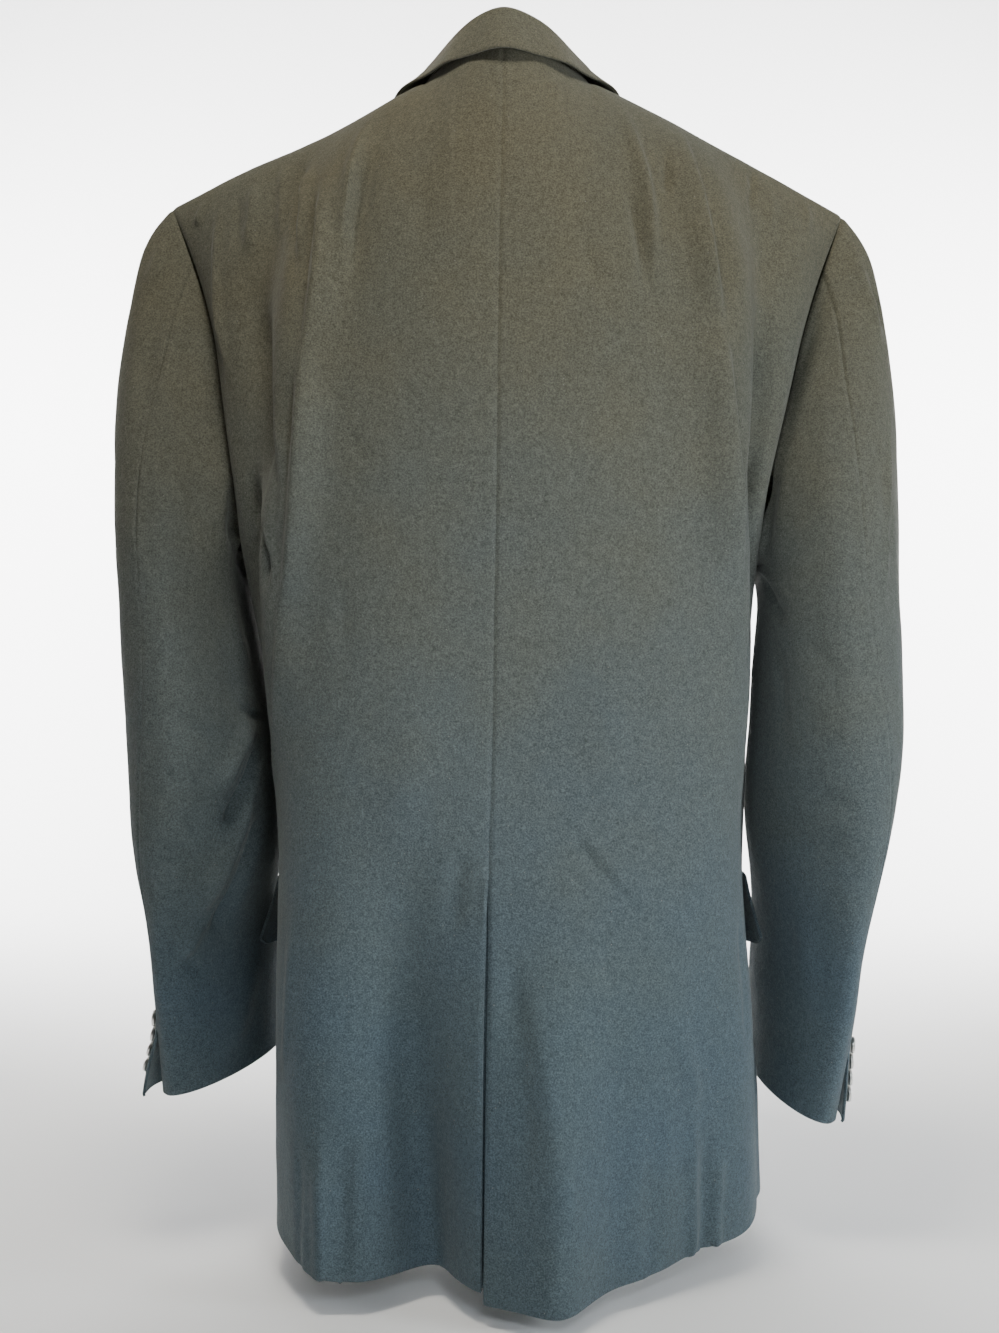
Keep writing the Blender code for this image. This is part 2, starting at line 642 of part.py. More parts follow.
def add_mesh(name, mesh, material):
    bmesh.ops.recalc_face_normals(mesh, faces=mesh.faces[:])
    data = bpy.data.meshes.new(name)
    mesh.to_mesh(data)
    mesh.free()
    data.materials.append(material)
    thing = bpy.data.objects.new(name, data)
    blazer.objects.link(thing)
    return thing


def add_button(name, point, out, size, material):
    """A flat round button standing a little off the cloth, with a bevelled face."""
    mesh = bmesh.new()
    bmesh.ops.create_cone(
        mesh,
        cap_ends=True,
        segments=BUTTON_SIDES,
        radius1=size.radius,
        radius2=size.radius,
        depth=size.depth,
    )
    rim = [edge for edge in mesh.edges if all(vert.co.z > 0 for vert in edge.verts)]
    bmesh.ops.bevel(mesh, geom=rim, offset=size.depth * BUTTON_BEVEL, segments=1, affect="EDGES")
    turn = out.to_track_quat("Z", "Y").to_matrix().to_4x4()
    place = Matrix.Translation(point + out * (size.stand + size.depth / 2)) @ turn
    bmesh.ops.transform(mesh, matrix=place, verts=mesh.verts[:])
    add_mesh(name, mesh, material)


def add_cuff_buttons(side):
    surface = functools.partial(sleeve_top, side)
    vent = surface(CUFF_BUTTON_S, 1.0) - surface(CUFF_BUTTON_S, CUFF_VENT_W)
    length_per_w = vent.length / (1 - CUFF_VENT_W)
    for i in range(CUFF_BUTTONS):
        w = 1 - (CUFF_BUTTON_UP + i * CUFF_BUTTON_PITCH) / length_per_w
        out = normal(surface, CUFF_BUTTON_S, w, side)
        name = f"cuff_button_{SIDE_NAMES[side]}_{i + 1}"
        add_button(name, surface(CUFF_BUTTON_S, w), out, CUFF_BUTTON, metal)


clear_scene()
blazer = bpy.data.collections.new("blazer")
bpy.context.scene.collection.children.link(blazer)
wool = finish("wool", (0.110, 0.115, 0.105), 0.95)
metal = finish("button_metal", (0.78, 0.76, 0.72), 0.25, 1.0)

for side, name in SIDE_NAMES.items():
    add_cloth(f"back_{name}", functools.partial(back_panel, side), 12, 25, side, wool)
    add_cloth(f"side_{name}", functools.partial(side_panel, side), 4, 13, side, wool)
    add_cloth(f"front_{name}", functools.partial(front_panel, side), 10, 22, side, wool)
    add_cloth(f"sleeve_top_{name}", functools.partial(sleeve_top, side), 9, 19, side, wool)
    add_cloth(f"sleeve_under_{name}", functools.partial(sleeve_under, side), 8, 19, side, wool)
    add_cloth(f"lapel_{name}", functools.partial(lapel, side), 11, 7, side, wool)
    add_cloth(f"flap_{name}", functools.partial(flap, side), 9, 3, -side, wool)
    add_cuff_buttons(side)
add_cloth("collar", collar, 24, 10, -1, wool)
add_cloth("vent_underlap", underlap, 2, 8, LEFT, wool)
for number, z in enumerate(FRONT_BUTTON_Z, 1):
    on_front = functools.partial(front, LEFT)
    c = c_at(LEFT, 0.0, z)
    out = normal(on_front, c, v_of(z))
    add_button(f"front_button_{number}", on_front(c, v_of(z)), out, FRONT_BUTTON, metal)
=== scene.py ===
"""Looks of a worn, hollow blazer: thin wool shells on its cloth solids, metal buttons, light and camera."""

import logging
import math
from collections import defaultdict
from dataclasses import dataclass, field
from enum import Enum
from typing import Iterator, Optional

import bpy
import numpy as np
from mathutils import Matrix, Vector, noise
from mathutils.bvhtree import BVHTree


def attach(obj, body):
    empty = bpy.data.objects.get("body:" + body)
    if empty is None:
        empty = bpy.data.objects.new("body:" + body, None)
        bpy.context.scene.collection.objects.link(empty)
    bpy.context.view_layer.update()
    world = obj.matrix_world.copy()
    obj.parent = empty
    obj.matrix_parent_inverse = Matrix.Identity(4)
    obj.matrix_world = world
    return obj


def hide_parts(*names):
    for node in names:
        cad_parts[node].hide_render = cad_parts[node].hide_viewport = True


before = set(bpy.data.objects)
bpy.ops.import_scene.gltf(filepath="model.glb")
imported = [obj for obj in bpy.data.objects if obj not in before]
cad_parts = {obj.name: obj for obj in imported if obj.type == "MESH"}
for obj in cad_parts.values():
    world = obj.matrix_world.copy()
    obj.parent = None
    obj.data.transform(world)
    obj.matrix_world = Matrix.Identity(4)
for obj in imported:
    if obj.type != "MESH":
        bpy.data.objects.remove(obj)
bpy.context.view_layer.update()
LOG = logging.getLogger("blazer")

WALL = 0.0020
WALL_SLACK = 2e-6
SHELL = 0.0018
BODY = "root"
SIDES = {"left": 1, "right": -1}

# The photograph's size in pixels, and its camera
PHOTO_SIZE = (999, 1333)
EYE = (0.0055, 1.12, -0.405)
LENS = 42.0
SENSOR = 36.0

# Creases that end between these heights run on past the hem
HEM_BAND = (-0.83, -0.785)
HEM_RUN_OFF = 0.04


class View(Enum):
    """The way a crease is looked at when it is placed: the axis across, and the way the cloth faces."""

    REAR = (0, (0.0, 1.0, 0.0))
    FRONT = (0, (0.0, -1.0, 0.0))
    LEFT = (1, (1.0, 0.0, 0.0))
    RIGHT = (1, (-1.0, 0.0, 0.0))


class Edge(Enum):
    """How an edge of a cut piece is finished: how deep it is pressed in, over what width, and its turning."""

    SEAM = (0.0012, 0.0036, 0.0004)
    FREE = (0.0007, 0.0016, 0.0)
    HIDDEN = (0.0, 0.0010, 0.0)


@dataclass(frozen=True)
class Crease:
    """One soft ridge or trough, given from its upper to its lower end.

    Attributes:
        view: the way it is looked at.
        a0: how far across its first end is, in metres.
        z0: the height of its first end.
        a1: how far across its second end is.
        z1: the height of its second end.
        bow: how far its middle swings aside.
        width: how wide it is to one side.
        height: how far it stands out, or in where below nought.
        lean: how much gentler one side is than the other, from -1 to 1.
    """

    view: View
    a0: float
    z0: float
    a1: float
    z1: float
    bow: float
    width: float
    height: float
    lean: float = 0.0


@dataclass(frozen=True)
class SeenCrease:
    """One soft ridge or trough placed on the photograph, from its upper to its lower end.

    Attributes:
        x0: its first end's column, in the photograph's pixels.
        y0: its first end's row.
        x1: its second end's column.
        y1: its second end's row.
        bow: how far its middle swings to the right, in pixels.
        width: how wide it is to one side, in pixels.
        height_mm: how far it stands out, or in where below nought, in millimetres.
        lean: how much gentler its right side is than its left, from -1 to 1.
    """

    x0: float
    y0: float
    x1: float
    y1: float
    bow: float
    width: float
    height_mm: float
    lean: float = 0.0

    def laid(self, sight: "Sight", node: str) -> Crease:
        """Lays the crease on its piece. One that ends close to the hem runs off past it.

        Args:
            sight: the photograph's lines of sight.
            node: the solid that it lies on.

        Returns:
            The crease, in metres.
        """
        middle = sight.landing((self.x0 + self.x1) / 2, (self.y0 + self.y1) / 2, node)
        upper = sight.landing(self.x0, self.y0, node)
        lower = sight.landing(self.x1, self.y1, node)
        pixel = sight.pixel_at(middle)
        low, high = HEM_BAND
        end = lower.z - HEM_RUN_OFF if low < lower.z < high else lower.z
        return Crease(
            View.REAR, upper.x, upper.z, lower.x, end,
            -self.bow * pixel, self.width * pixel, self.height_mm / 1000, -self.lean,
        )


@dataclass
class Sight:
    """The photograph's lines of sight, from its camera to the solids' cloth.

    Attributes:
        eye: where the camera stands.
        middle: the photograph's middle, in pixels.
        focus: the focal length, in pixels.
        trees: the cloth solids, ready to be looked at.
    """

    eye: Vector = field(default_factory=lambda: Vector(EYE))
    middle: tuple[float, float] = (PHOTO_SIZE[0] / 2, PHOTO_SIZE[1] / 2)
    focus: float = LENS / SENSOR * PHOTO_SIZE[1]
    trees: dict[str, BVHTree] = field(init=False)

    def __post_init__(self) -> None:
        """Reads the cloth solids."""
        cloth = {name: node.data for name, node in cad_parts.items() if "button" not in name}
        self.trees = {
            name: BVHTree.FromPolygons([v.co for v in mesh.vertices], [f.vertices for f in mesh.polygons])
            for name, mesh in cloth.items()
        }

    def landing(self, column: float, row: float, node: str) -> Vector:
        """Finds where a pixel lies on a solid, or on the nearest one where it misses that.

        Args:
            column: the pixel's column.
            row: its row.
            node: the solid's name.

        Returns:
            The place.
        """
        right = (column - self.middle[0]) / self.focus
        up = (self.middle[1] - row) / self.focus
        way = Vector((-right, -1.0, up)).normalized()
        own = self.trees[node].ray_cast(self.eye, way)
        if own[0] is not None:
            return own[0]
        hits = [tree.ray_cast(self.eye, way) for tree in self.trees.values()]
        place, *_ = min((hit for hit in hits if hit[0] is not None), key=lambda hit: hit[3])
        return place

    def pixel_at(self, place: Vector) -> float:
        """Gives how wide a pixel is at a place, in metres."""
        return (self.eye.y - place.y) / self.focus


SEEN_CREASES: dict[str, tuple[SeenCrease, ...]] = {
    "back_left": (
        SeenCrease(205, 200, 196, 230, 0, 4.7, 2.3, 0.1),
        SeenCrease(220, 198, 231, 392, -7, 5.5, 4.0),
        SeenCrease(237, 190, 236, 250, 2, 4.7, -2.0),
        SeenCrease(256, 180, 247, 262, 1, 5.5, 3.8),
        SeenCrease(285, 162, 281, 240, 0, 5.5, 3.0),
        SeenCrease(312, 158, 294, 262, 2, 6.0, 5.0, 0.3),
        SeenCrease(298, 190, 290, 300, 0, 6.2, -2.6),
        SeenCrease(326, 170, 300, 372, 3, 12.0, 5.4, 0.7),
        SeenCrease(303, 330, 282, 620, 2, 13.0, 5.6, 0.7),
        SeenCrease(262, 300, 262, 520, 6, 17.2, -4.6),
        SeenCrease(372, 114, 340, 275, -4, 7.0, 6.0, -0.3),
        SeenCrease(384, 122, 352, 290, -5, 7.0, -4.6, 0.3),
        SeenCrease(452, 86, 449, 165, 0, 4.7, 1.3),
        SeenCrease(432, 120, 420, 260, 0, 10.9, -1.3),
        SeenCrease(343, 580, 344, 670, 0, 10.8, -1.5),
        SeenCrease(345, 430, 372, 470, 0, 5.4, -0.9),
        SeenCrease(330, 470, 420, 440, -4, 7.2, -0.8),
        SeenCrease(420, 660, 380, 900, 6, 23.4, 2.1),
        SeenCrease(463, 845, 450, 945, 0, 10.8, -3.6),
        SeenCrease(490, 832, 484, 935, 0, 4.5, 2.1),
        SeenCrease(323, 1120, 321, 1280, 0, 8.1, 5.0, -0.3),
        SeenCrease(345, 1100, 340, 1275, 0, 12.6, -3.6),
        SeenCrease(300, 1120, 297, 1262, 0, 8.1, -1.8),
        SeenCrease(295, 900, 283, 1090, 0, 9.0, 1.8),
        SeenCrease(258, 270, 262, 500, 6, 18.0, -3.5),
        SeenCrease(268, 430, 270, 590, 2, 9.0, -4.0),
        SeenCrease(284, 540, 277, 900, 2, 12.0, 3.0, 0.7),
        SeenCrease(252, 470, 266, 600, 2, 8.0, -7.0),
        SeenCrease(318, 175, 292, 372, 3, 10.0, -4.6, -0.6),
        SeenCrease(295, 335, 274, 620, 2, 11.0, -5.0, -0.6),
        SeenCrease(305, 158, 287, 262, 2, 6.0, -4.0, -0.4),
    ),
    "back_right": (
        SeenCrease(612, 96, 655, 292, 12, 7.2, 4.4, -0.3),
        SeenCrease(622, 170, 646, 310, 6, 8.0, -4.0, 0.2),
        SeenCrease(587, 215, 590, 305, 0, 8.8, -1.4),
        SeenCrease(664, 142, 668, 205, 0, 5.6, -2.8),
        SeenCrease(676, 128, 722, 345, 6, 12.0, 5.4, -0.7),
        SeenCrease(720, 310, 741, 590, 4, 13.0, 5.8, -0.7),
        SeenCrease(752, 168, 750, 214, 0, 4.0, -2.8),
        SeenCrease(772, 190, 768, 260, 0, 6.4, 1.3),
        SeenCrease(806, 200, 808, 244, 0, 4.8, 1.4),
        SeenCrease(762, 300, 748, 500, 4, 16.0, -4.2),
        SeenCrease(575, 265, 650, 300, 2, 6.3, -0.9),
        SeenCrease(560, 600, 640, 640, 0, 12.6, -1.2),
        SeenCrease(610, 640, 600, 820, 4, 21.6, 1.8),
        SeenCrease(563, 822, 650, 924, -4, 6.0, -1.7, 0.2),
        SeenCrease(570, 815, 655, 915, -4, 7.0, 1.3),
        SeenCrease(566, 930, 580, 944, 0, 3.6, -1.4),
        SeenCrease(603, 968, 614, 988, 0, 4.5, -1.1),
        SeenCrease(673, 1015, 700, 1120, 3, 9.0, 1.8),
        SeenCrease(507, 930, 527, 1215, 4, 10.8, -2.7),
        SeenCrease(528, 960, 578, 1262, 0, 12.6, 2.1),
        SeenCrease(693, 1100, 692, 1250, 0, 7.2, 3.6),
        SeenCrease(706, 1120, 704, 1245, 0, 6.3, -2.6),
        SeenCrease(720, 1140, 716, 1236, 0, 6.3, 2.8),
        SeenCrease(655, 1080, 650, 1270, 0, 14.4, -2.1),
        SeenCrease(738, 900, 748, 1060, 0, 7.2, -1.8),
        SeenCrease(764, 285, 750, 500, 5, 17.0, -5.5),
        SeenCrease(753, 430, 750, 575, 0, 9.0, -5.0),
        SeenCrease(757, 430, 750, 600, 2, 9.0, -9.5, 0.2),
        SeenCrease(684, 132, 730, 345, 6, 10.0, -4.8, 0.6),
        SeenCrease(729, 315, 748, 560, 4, 10.0, -5.4, 0.6),
        SeenCrease(751, 520, 748, 690, 0, 7.0, -5.0),
    ),
    "sleeve_top_left": (
        SeenCrease(170, 236, 150, 292, -4, 6.7, 2.8),
        SeenCrease(168, 268, 141, 440, -6, 9.5, -3.0),
    ),
    "sleeve_under_left": (
        SeenCrease(160, 320, 170, 470, 4, 13.3, 2.0),
        SeenCrease(180, 446, 199, 552, 3, 6.7, -2.2),
        SeenCrease(140, 440, 152, 600, 0, 13.3, -1.8),
        SeenCrease(214, 420, 232, 540, 2, 9.5, 2.0),
        SeenCrease(246, 505, 250, 585, -4, 8.5, -6.5),
        SeenCrease(226, 560, 256, 690, -4, 9.5, 2.2),
        SeenCrease(205, 600, 255, 735, -4, 15.2, -2.0),
        SeenCrease(256, 716, 212, 806, 5, 10.0, 6.0, -0.4),
        SeenCrease(264, 738, 220, 832, 5, 8.0, -12.5, 0.3),
        SeenCrease(238, 708, 266, 722, 0, 4.8, -2.0),
        SeenCrease(254, 786, 196, 922, 8, 11.0, 6.0, -0.4),
        SeenCrease(262, 806, 204, 944, 9, 9.0, -12.5, 0.3),
        SeenCrease(206, 915, 178, 968, 0, 8.0, 4.0),
        SeenCrease(160, 700, 222, 752, 0, 9.5, -1.5),
        SeenCrease(150, 845, 205, 872, 0, 8.6, -1.5),
        SeenCrease(165, 930, 210, 985, 0, 9.5, -1.5),
        SeenCrease(255, 960, 225, 1060, 4, 13.3, 2.5),
        SeenCrease(246, 470, 250, 560, -2, 8.0, -5.0),
        SeenCrease(250, 480, 262, 600, 2, 8.0, -7.0),
    ),
    "sleeve_top_right": (
        SeenCrease(846, 238, 882, 365, 5, 7.6, 2.9),
        SeenCrease(858, 258, 886, 345, 4, 5.7, -2.3),
        SeenCrease(889, 400, 881, 632, 2, 3.8, 2.1),
        SeenCrease(872, 420, 868, 600, 0, 8.6, -1.6),
    ),
    "sleeve_under_right": (
        SeenCrease(836, 250, 775, 432, 6, 9.5, -2.3),
        SeenCrease(820, 340, 808, 560, 6, 19.0, 1.8),
        SeenCrease(753, 572, 788, 628, -3, 6.7, -3.9),
        SeenCrease(752, 556, 796, 610, -4, 7.6, 2.3),
        SeenCrease(775, 640, 780, 760, 3, 8.6, -1.8),
        SeenCrease(800, 640, 845, 680, 0, 9.5, -1.2),
        SeenCrease(798, 788, 862, 812, 4, 7.6, -1.6),
        SeenCrease(785, 850, 852, 842, 4, 8.6, -1.6),
        SeenCrease(780, 905, 842, 932, 3, 8.6, -1.3),
        SeenCrease(790, 985, 838, 1010, 3, 9.5, -1.2),
        SeenCrease(800, 870, 806, 1060, 3, 15.2, 1.8),
        SeenCrease(764, 470, 757, 556, 2, 8.0, -4.0),
        SeenCrease(764, 450, 754, 560, 2, 7.0, -7.0),
    ),
}

HIDDEN_CREASES: dict[str, tuple[Crease, ...]] = {
    "front_left": (
        Crease(View.FRONT, 0.152, -0.125, 0.138, -0.300, 0.004, 0.0080, 0.0022, 0.2),
        Crease(View.FRONT, 0.123, -0.100, 0.115, -0.225, 0.003, 0.0070, -0.0014),
        Crease(View.FRONT, 0.030, -0.452, 0.120, -0.402, 0.003, 0.0060, -0.0013),
        Crease(View.FRONT, 0.035, -0.470, 0.132, -0.468, 0.004, 0.0070, -0.0010),
        Crease(View.FRONT, 0.040, -0.486, 0.123, -0.526, 0.003, 0.0060, -0.0012),
        Crease(View.FRONT, 0.070, -0.630, 0.078, -0.840, 0.000, 0.0120, 0.0022),
        Crease(View.FRONT, 0.106, -0.620, 0.113, -0.850, 0.000, 0.0100, -0.0018),
        Crease(View.FRONT, 0.136, -0.640, 0.140, -0.845, 0.000, 0.0090, 0.0016),
    ),
    "front_right": (
        Crease(View.FRONT, -0.154, -0.135, -0.142, -0.305, -0.004, 0.0085, 0.0020, -0.2),
        Crease(View.FRONT, -0.120, -0.110, -0.116, -0.240, -0.002, 0.0070, -0.0013),
        Crease(View.FRONT, -0.032, -0.448, -0.124, -0.410, -0.003, 0.0060, -0.0012),
        Crease(View.FRONT, -0.038, -0.474, -0.128, -0.486, -0.003, 0.0070, -0.0010),
        Crease(View.FRONT, -0.046, -0.490, -0.118, -0.534, -0.003, 0.0060, -0.0011),
        Crease(View.FRONT, -0.082, -0.625, -0.087, -0.845, 0.000, 0.0120, 0.0020),
        Crease(View.FRONT, -0.118, -0.640, -0.124, -0.850, 0.000, 0.0100, -0.0018),
        Crease(View.FRONT, -0.148, -0.630, -0.154, -0.850, 0.000, 0.0090, 0.0015),
    ),
    "side_left": (
        Crease(View.LEFT, -0.002, -0.350, -0.012, -0.500, 0.002, 0.0090, -0.0016),
        Crease(View.LEFT, -0.024, -0.630, -0.028, -0.850, 0.000, 0.0090, 0.0016),
    ),
    "side_right": (
        Crease(View.RIGHT, -0.016, -0.330, -0.022, -0.570, 0.000, 0.0220, 0.0020),
        Crease(View.RIGHT, -0.018, -0.640, -0.022, -0.850, 0.000, 0.0090, 0.0015),
    ),
    "sleeve_top_left": (
        Crease(View.LEFT, -0.030, -0.190, -0.036, -0.360, 0.004, 0.0130, 0.0014),
        Crease(View.LEFT, 0.024, -0.230, 0.030, -0.400, 0.003, 0.0120, -0.0014),
        Crease(View.LEFT, -0.060, -0.420, 0.010, -0.452, 0.003, 0.0070, -0.0014),
        Crease(View.LEFT, -0.064, -0.474, 0.004, -0.486, -0.003, 0.0070, -0.0016),
        Crease(View.LEFT, -0.072, -0.536, -0.004, -0.518, 0.003, 0.0070, -0.0014),
        Crease(View.LEFT, -0.078, -0.604, -0.026, -0.580, 0.002, 0.0060, -0.0012),
        Crease(View.LEFT, -0.074, -0.664, -0.020, -0.648, 0.002, 0.0070, -0.0010),
        Crease(View.FRONT, 0.196, -0.440, 0.242, -0.468, 0.003, 0.0060, -0.0024),
        Crease(View.FRONT, 0.192, -0.500, 0.238, -0.488, -0.003, 0.0060, -0.0022),
        Crease(View.FRONT, 0.190, -0.548, 0.232, -0.522, 0.003, 0.0060, -0.0018),
    ),
    "sleeve_top_right": (
        Crease(View.RIGHT, -0.026, -0.200, -0.034, -0.370, 0.004, 0.0130, 0.0014),
        Crease(View.RIGHT, 0.022, -0.225, 0.026, -0.390, 0.003, 0.0120, -0.0013),
        Crease(View.RIGHT, -0.062, -0.430, 0.006, -0.456, 0.003, 0.0070, -0.0014),
        Crease(View.RIGHT, -0.066, -0.486, 0.002, -0.494, -0.003, 0.0070, -0.0015),
        Crease(View.RIGHT, -0.070, -0.548, -0.006, -0.530, 0.003, 0.0070, -0.0013),
        Crease(View.RIGHT, -0.080, -0.620, -0.024, -0.600, 0.002, 0.0060, -0.0012),
        Crease(View.RIGHT, -0.078, -0.684, -0.026, -0.668, 0.002, 0.0070, -0.0010),
        Crease(View.FRONT, -0.206, -0.448, -0.250, -0.474, -0.003, 0.0060, -0.0024),
        Crease(View.FRONT, -0.201, -0.508, -0.246, -0.496, 0.003, 0.0060, -0.0020),
        Crease(View.FRONT, -0.198, -0.560, -0.240, -0.536, -0.003, 0.0060, -0.0016),
    ),
    "sleeve_under_right": (
        Crease(View.LEFT, -0.014, -0.325, -0.024, -0.580, 0.000, 0.0240, 0.0024),
    ),
}


@dataclass(frozen=True)
class Cut:
    """How one cloth piece was cut, and how its solid's grid of points is read back.

    Attributes:
        node: the solid that the piece stands for.
        across: grid cells across the piece.
        along: grid cells along it.
        facing: 1 or -1, the way the outer face lies.
        s_way: a direction that the piece runs across towards.
        t_way: a direction that it runs along towards.
        edges: the finish of its four edges, first and last across, then first and last along.
        flat: the width and length of the rectangle that it was cut from; not used.
        share: how much of that rectangle it keeps; not used.
        rests_on: what it is sewn to or lies on; not used.
        steps: how far apart the points of the finished cloth are, across and along.
    """

    node: str
    across: int
    along: int
    facing: int
    s_way: tuple[float, float, float]
    t_way: tuple[float, float, float]
    edges: tuple[Edge, Edge, Edge, Edge]
    flat: tuple[float, float]
    share: float
    rests_on: tuple[str, ...]
    steps: tuple[float, float] = (0.0034, 0.0034)


@dataclass
class NodeGrid:
    """The outer face of a cloth solid, read back as rows and columns of points.

    Attributes:
        cut: the piece's cut.
    """

    cut: Cut
    points: np.ndarray = field(init=False)
    triangles: list[tuple[int, int, int]] = field(init=False)

    def __post_init__(self) -> None:
        """Merges the solid's loose triangles."""
        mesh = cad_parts[self.cut.node].data
        loose = np.array([vert.co for vert in mesh.vertices], float)
        _, first, index = np.unique(np.round(loose * 1e6), axis=0, return_index=True, return_inverse=True)
        self.points = loose[first]
        index = index.reshape(-1)
        self.triangles = [tuple(int(index[i]) for i in face.vertices) for face in mesh.polygons]

    def rows(self) -> np.ndarray:
        """Finds the outer face.

        Returns:
            An array of points, rows along the piece by columns across it.
        """
        for faces in self._skins():
            grid = self._walked(faces)
            across = self.points[grid[:, 1:]] - self.points[grid[:, :-1]]
            up = self.points[grid[1:, :]] - self.points[grid[:-1, :]]
            stated = np.cross(up[:, :-1], across[:-1]) * self.cut.facing
            a, b, c = self.points[np.array(faces)].transpose(1, 0, 2)
            real = np.cross(b - a, c - a)
            if stated.reshape(-1, 3).sum(0) @ real.sum(0) > 0:
                return self.points[grid]
        raise ValueError(f"{self.cut.node}: no outer face was found")

    def _skins(self) -> list[list[tuple[int, int, int]]]:
        """Takes away the rim, which leaves the outer and the inner skin.

        Returns:
            The triangles of the two skins.
        """
        rim = set()
        for face in self.triangles:
            for i in range(3):
                a, b = face[i], face[(i + 1) % 3]
                if abs(np.linalg.norm(self.points[a] - self.points[b]) - WALL) < WALL_SLACK:
                    rim.add(face)
        left = [face for face in self.triangles if face not in rim]
        by_point = defaultdict(list)
        for number, face in enumerate(left):
            for corner in face:
                by_point[corner].append(number)
        skins, seen = [], set()
        for number in range(len(left)):
            if number in seen:
                continue
            skin, waiting = [], [number]
            seen.add(number)
            while waiting:
                current = waiting.pop()
                skin.append(left[current])
                near = {n for corner in left[current] for n in by_point[corner]} - seen
                seen |= near
                waiting += near
            skins.append(skin)
        return skins

    def _walked(self, faces: list[tuple[int, int, int]]) -> np.ndarray:
        """Orders a skin's points by walking from its border, row by row.

        Args:
            faces: the skin's triangles.

        Returns:
            Point numbers, rows along the piece by columns across it.
        """
        by_edge = defaultdict(list)
        for face in faces:
            for i in range(3):
                by_edge[frozenset((face[i], face[(i + 1) % 3]))].append(face)
        loop = self._border(by_edge)
        for start in range(len(loop)):
            grid = self._grid_from(loop[start:] + loop[:start], by_edge)
            if grid is not None:
                return self._turned(np.array(grid))
        raise ValueError(f"{self.cut.node}: its skin is not a grid")

    @staticmethod
    def _border(by_edge: dict) -> list[int]:
        """Follows a skin's border.

        Args:
            by_edge: the triangles at each edge.

        Returns:
            The border's point numbers, in order.
        """
        beside = defaultdict(list)
        for edge, faces in by_edge.items():
            if len(faces) == 1:
                a, b = edge
                beside[a].append(b)
                beside[b].append(a)
        loop = [min(beside)]
        before = None
        while True:
            onward = [point for point in beside[loop[-1]] if point != before]
            before = loop[-1]
            if onward[0] == loop[0]:
                return loop
            loop.append(onward[0])

    def _grid_from(self, loop: list[int], by_edge: dict) -> Optional[list[list[int]]]:
        """Tries one point of the border as the grid's first corner.

        Args:
            loop: the border, from that point on.
            by_edge: the triangles at each edge.

        Returns:
            The grid, or None where that point is not a corner of it.
        """
        across, along = self.cut.across, self.cut.along
        if len(loop) != 2 * (across + along):
            return None
        row, grid, used = loop[: across + 1], [loop[: across + 1]], set()
        for j in range(1, along + 1):
            fresh = [loop[-j]]
            for i in range(1, across + 1):
                corner = self._far_corner(row[i - 1], row[i], fresh[-1], by_edge, used)
                if corner is None:
                    return None
                fresh.append(corner)
            if fresh[-1] != loop[across + j]:
                return None
            grid.append(fresh)
            row = fresh
        return grid

    @staticmethod
    def _far_corner(a: int, b: int, c: int, by_edge: dict, used: set) -> Optional[int]:
        """Finds the fourth corner of a cell whose other three are known.

        Args:
            a: the corner between the other two.
            b: the next corner on the same row.
            c: the next corner on the same column.
            by_edge: the triangles at each edge.
            used: the triangles that are walked already.

        Returns:
            The fourth corner, or None where there is no such cell.
        """

        def third(p: int, q: int) -> Optional[int]:
            for face in by_edge.get(frozenset((p, q)), ()):
                if face not in used:
                    used.add(face)
                    return next(corner for corner in face if corner not in (p, q))
            return None

        corner = third(a, b)
        if corner is None:
            return None
        if corner == c:
            return third(b, c)
        return corner if third(a, corner) == c else None

    def _turned(self, grid: np.ndarray) -> np.ndarray:
        """Turns a grid so that it runs the ways that the cut states."""
        middle_row, middle_column = grid[len(grid) // 2], grid[:, grid.shape[1] // 2]
        if (self.points[middle_row[-1]] - self.points[middle_row[0]]) @ self.cut.s_way < 0:
            grid = grid[:, ::-1]
        if (self.points[middle_column[-1]] - self.points[middle_column[0]]) @ self.cut.t_way < 0:
            grid = grid[::-1]
        return grid


def spline(knots: np.ndarray, at: np.ndarray) -> np.ndarray:
    """Works out a natural cubic curve through values that are given at knots.

    Args:
        knots: where the values are given.
        at: where they are wanted.

    Returns:
        A matrix that turns the given values into the wanted ones.
    """
    count, gap = len(knots), np.diff(knots)
    bends, rises = np.eye(count), np.zeros((count, count))
    for i in range(1, count - 1):
        bends[i, i - 1 : i + 2] = gap[i - 1] / 6, (gap[i - 1] + gap[i]) / 3, gap[i] / 6
        rises[i, i - 1 : i + 2] = 1 / gap[i - 1], -1 / gap[i - 1] - 1 / gap[i], 1 / gap[i]
    bend = np.linalg.solve(bends, rises)
    cell = np.clip(np.searchsorted(knots, at, "right") - 1, 0, count - 2)
    before = (knots[cell + 1] - at) / gap[cell]
    after = 1 - before
    matrix = np.zeros((len(at), count))
    row = np.arange(len(at))
    matrix[row, cell] += before
    matrix[row, cell + 1] += after
    scale = gap[cell] ** 2 / 6
    matrix += ((before**3 - before) * scale)[:, None] * bend[cell]
    matrix += ((after**3 - after) * scale)[:, None] * bend[cell + 1]
    return matrix


def ease(x: np.ndarray) -> np.ndarray:
    """Runs from nought to one with a soft start and end."""
    x = np.clip(x, 0.0, 1.0)
    return x * x * (3 - 2 * x)


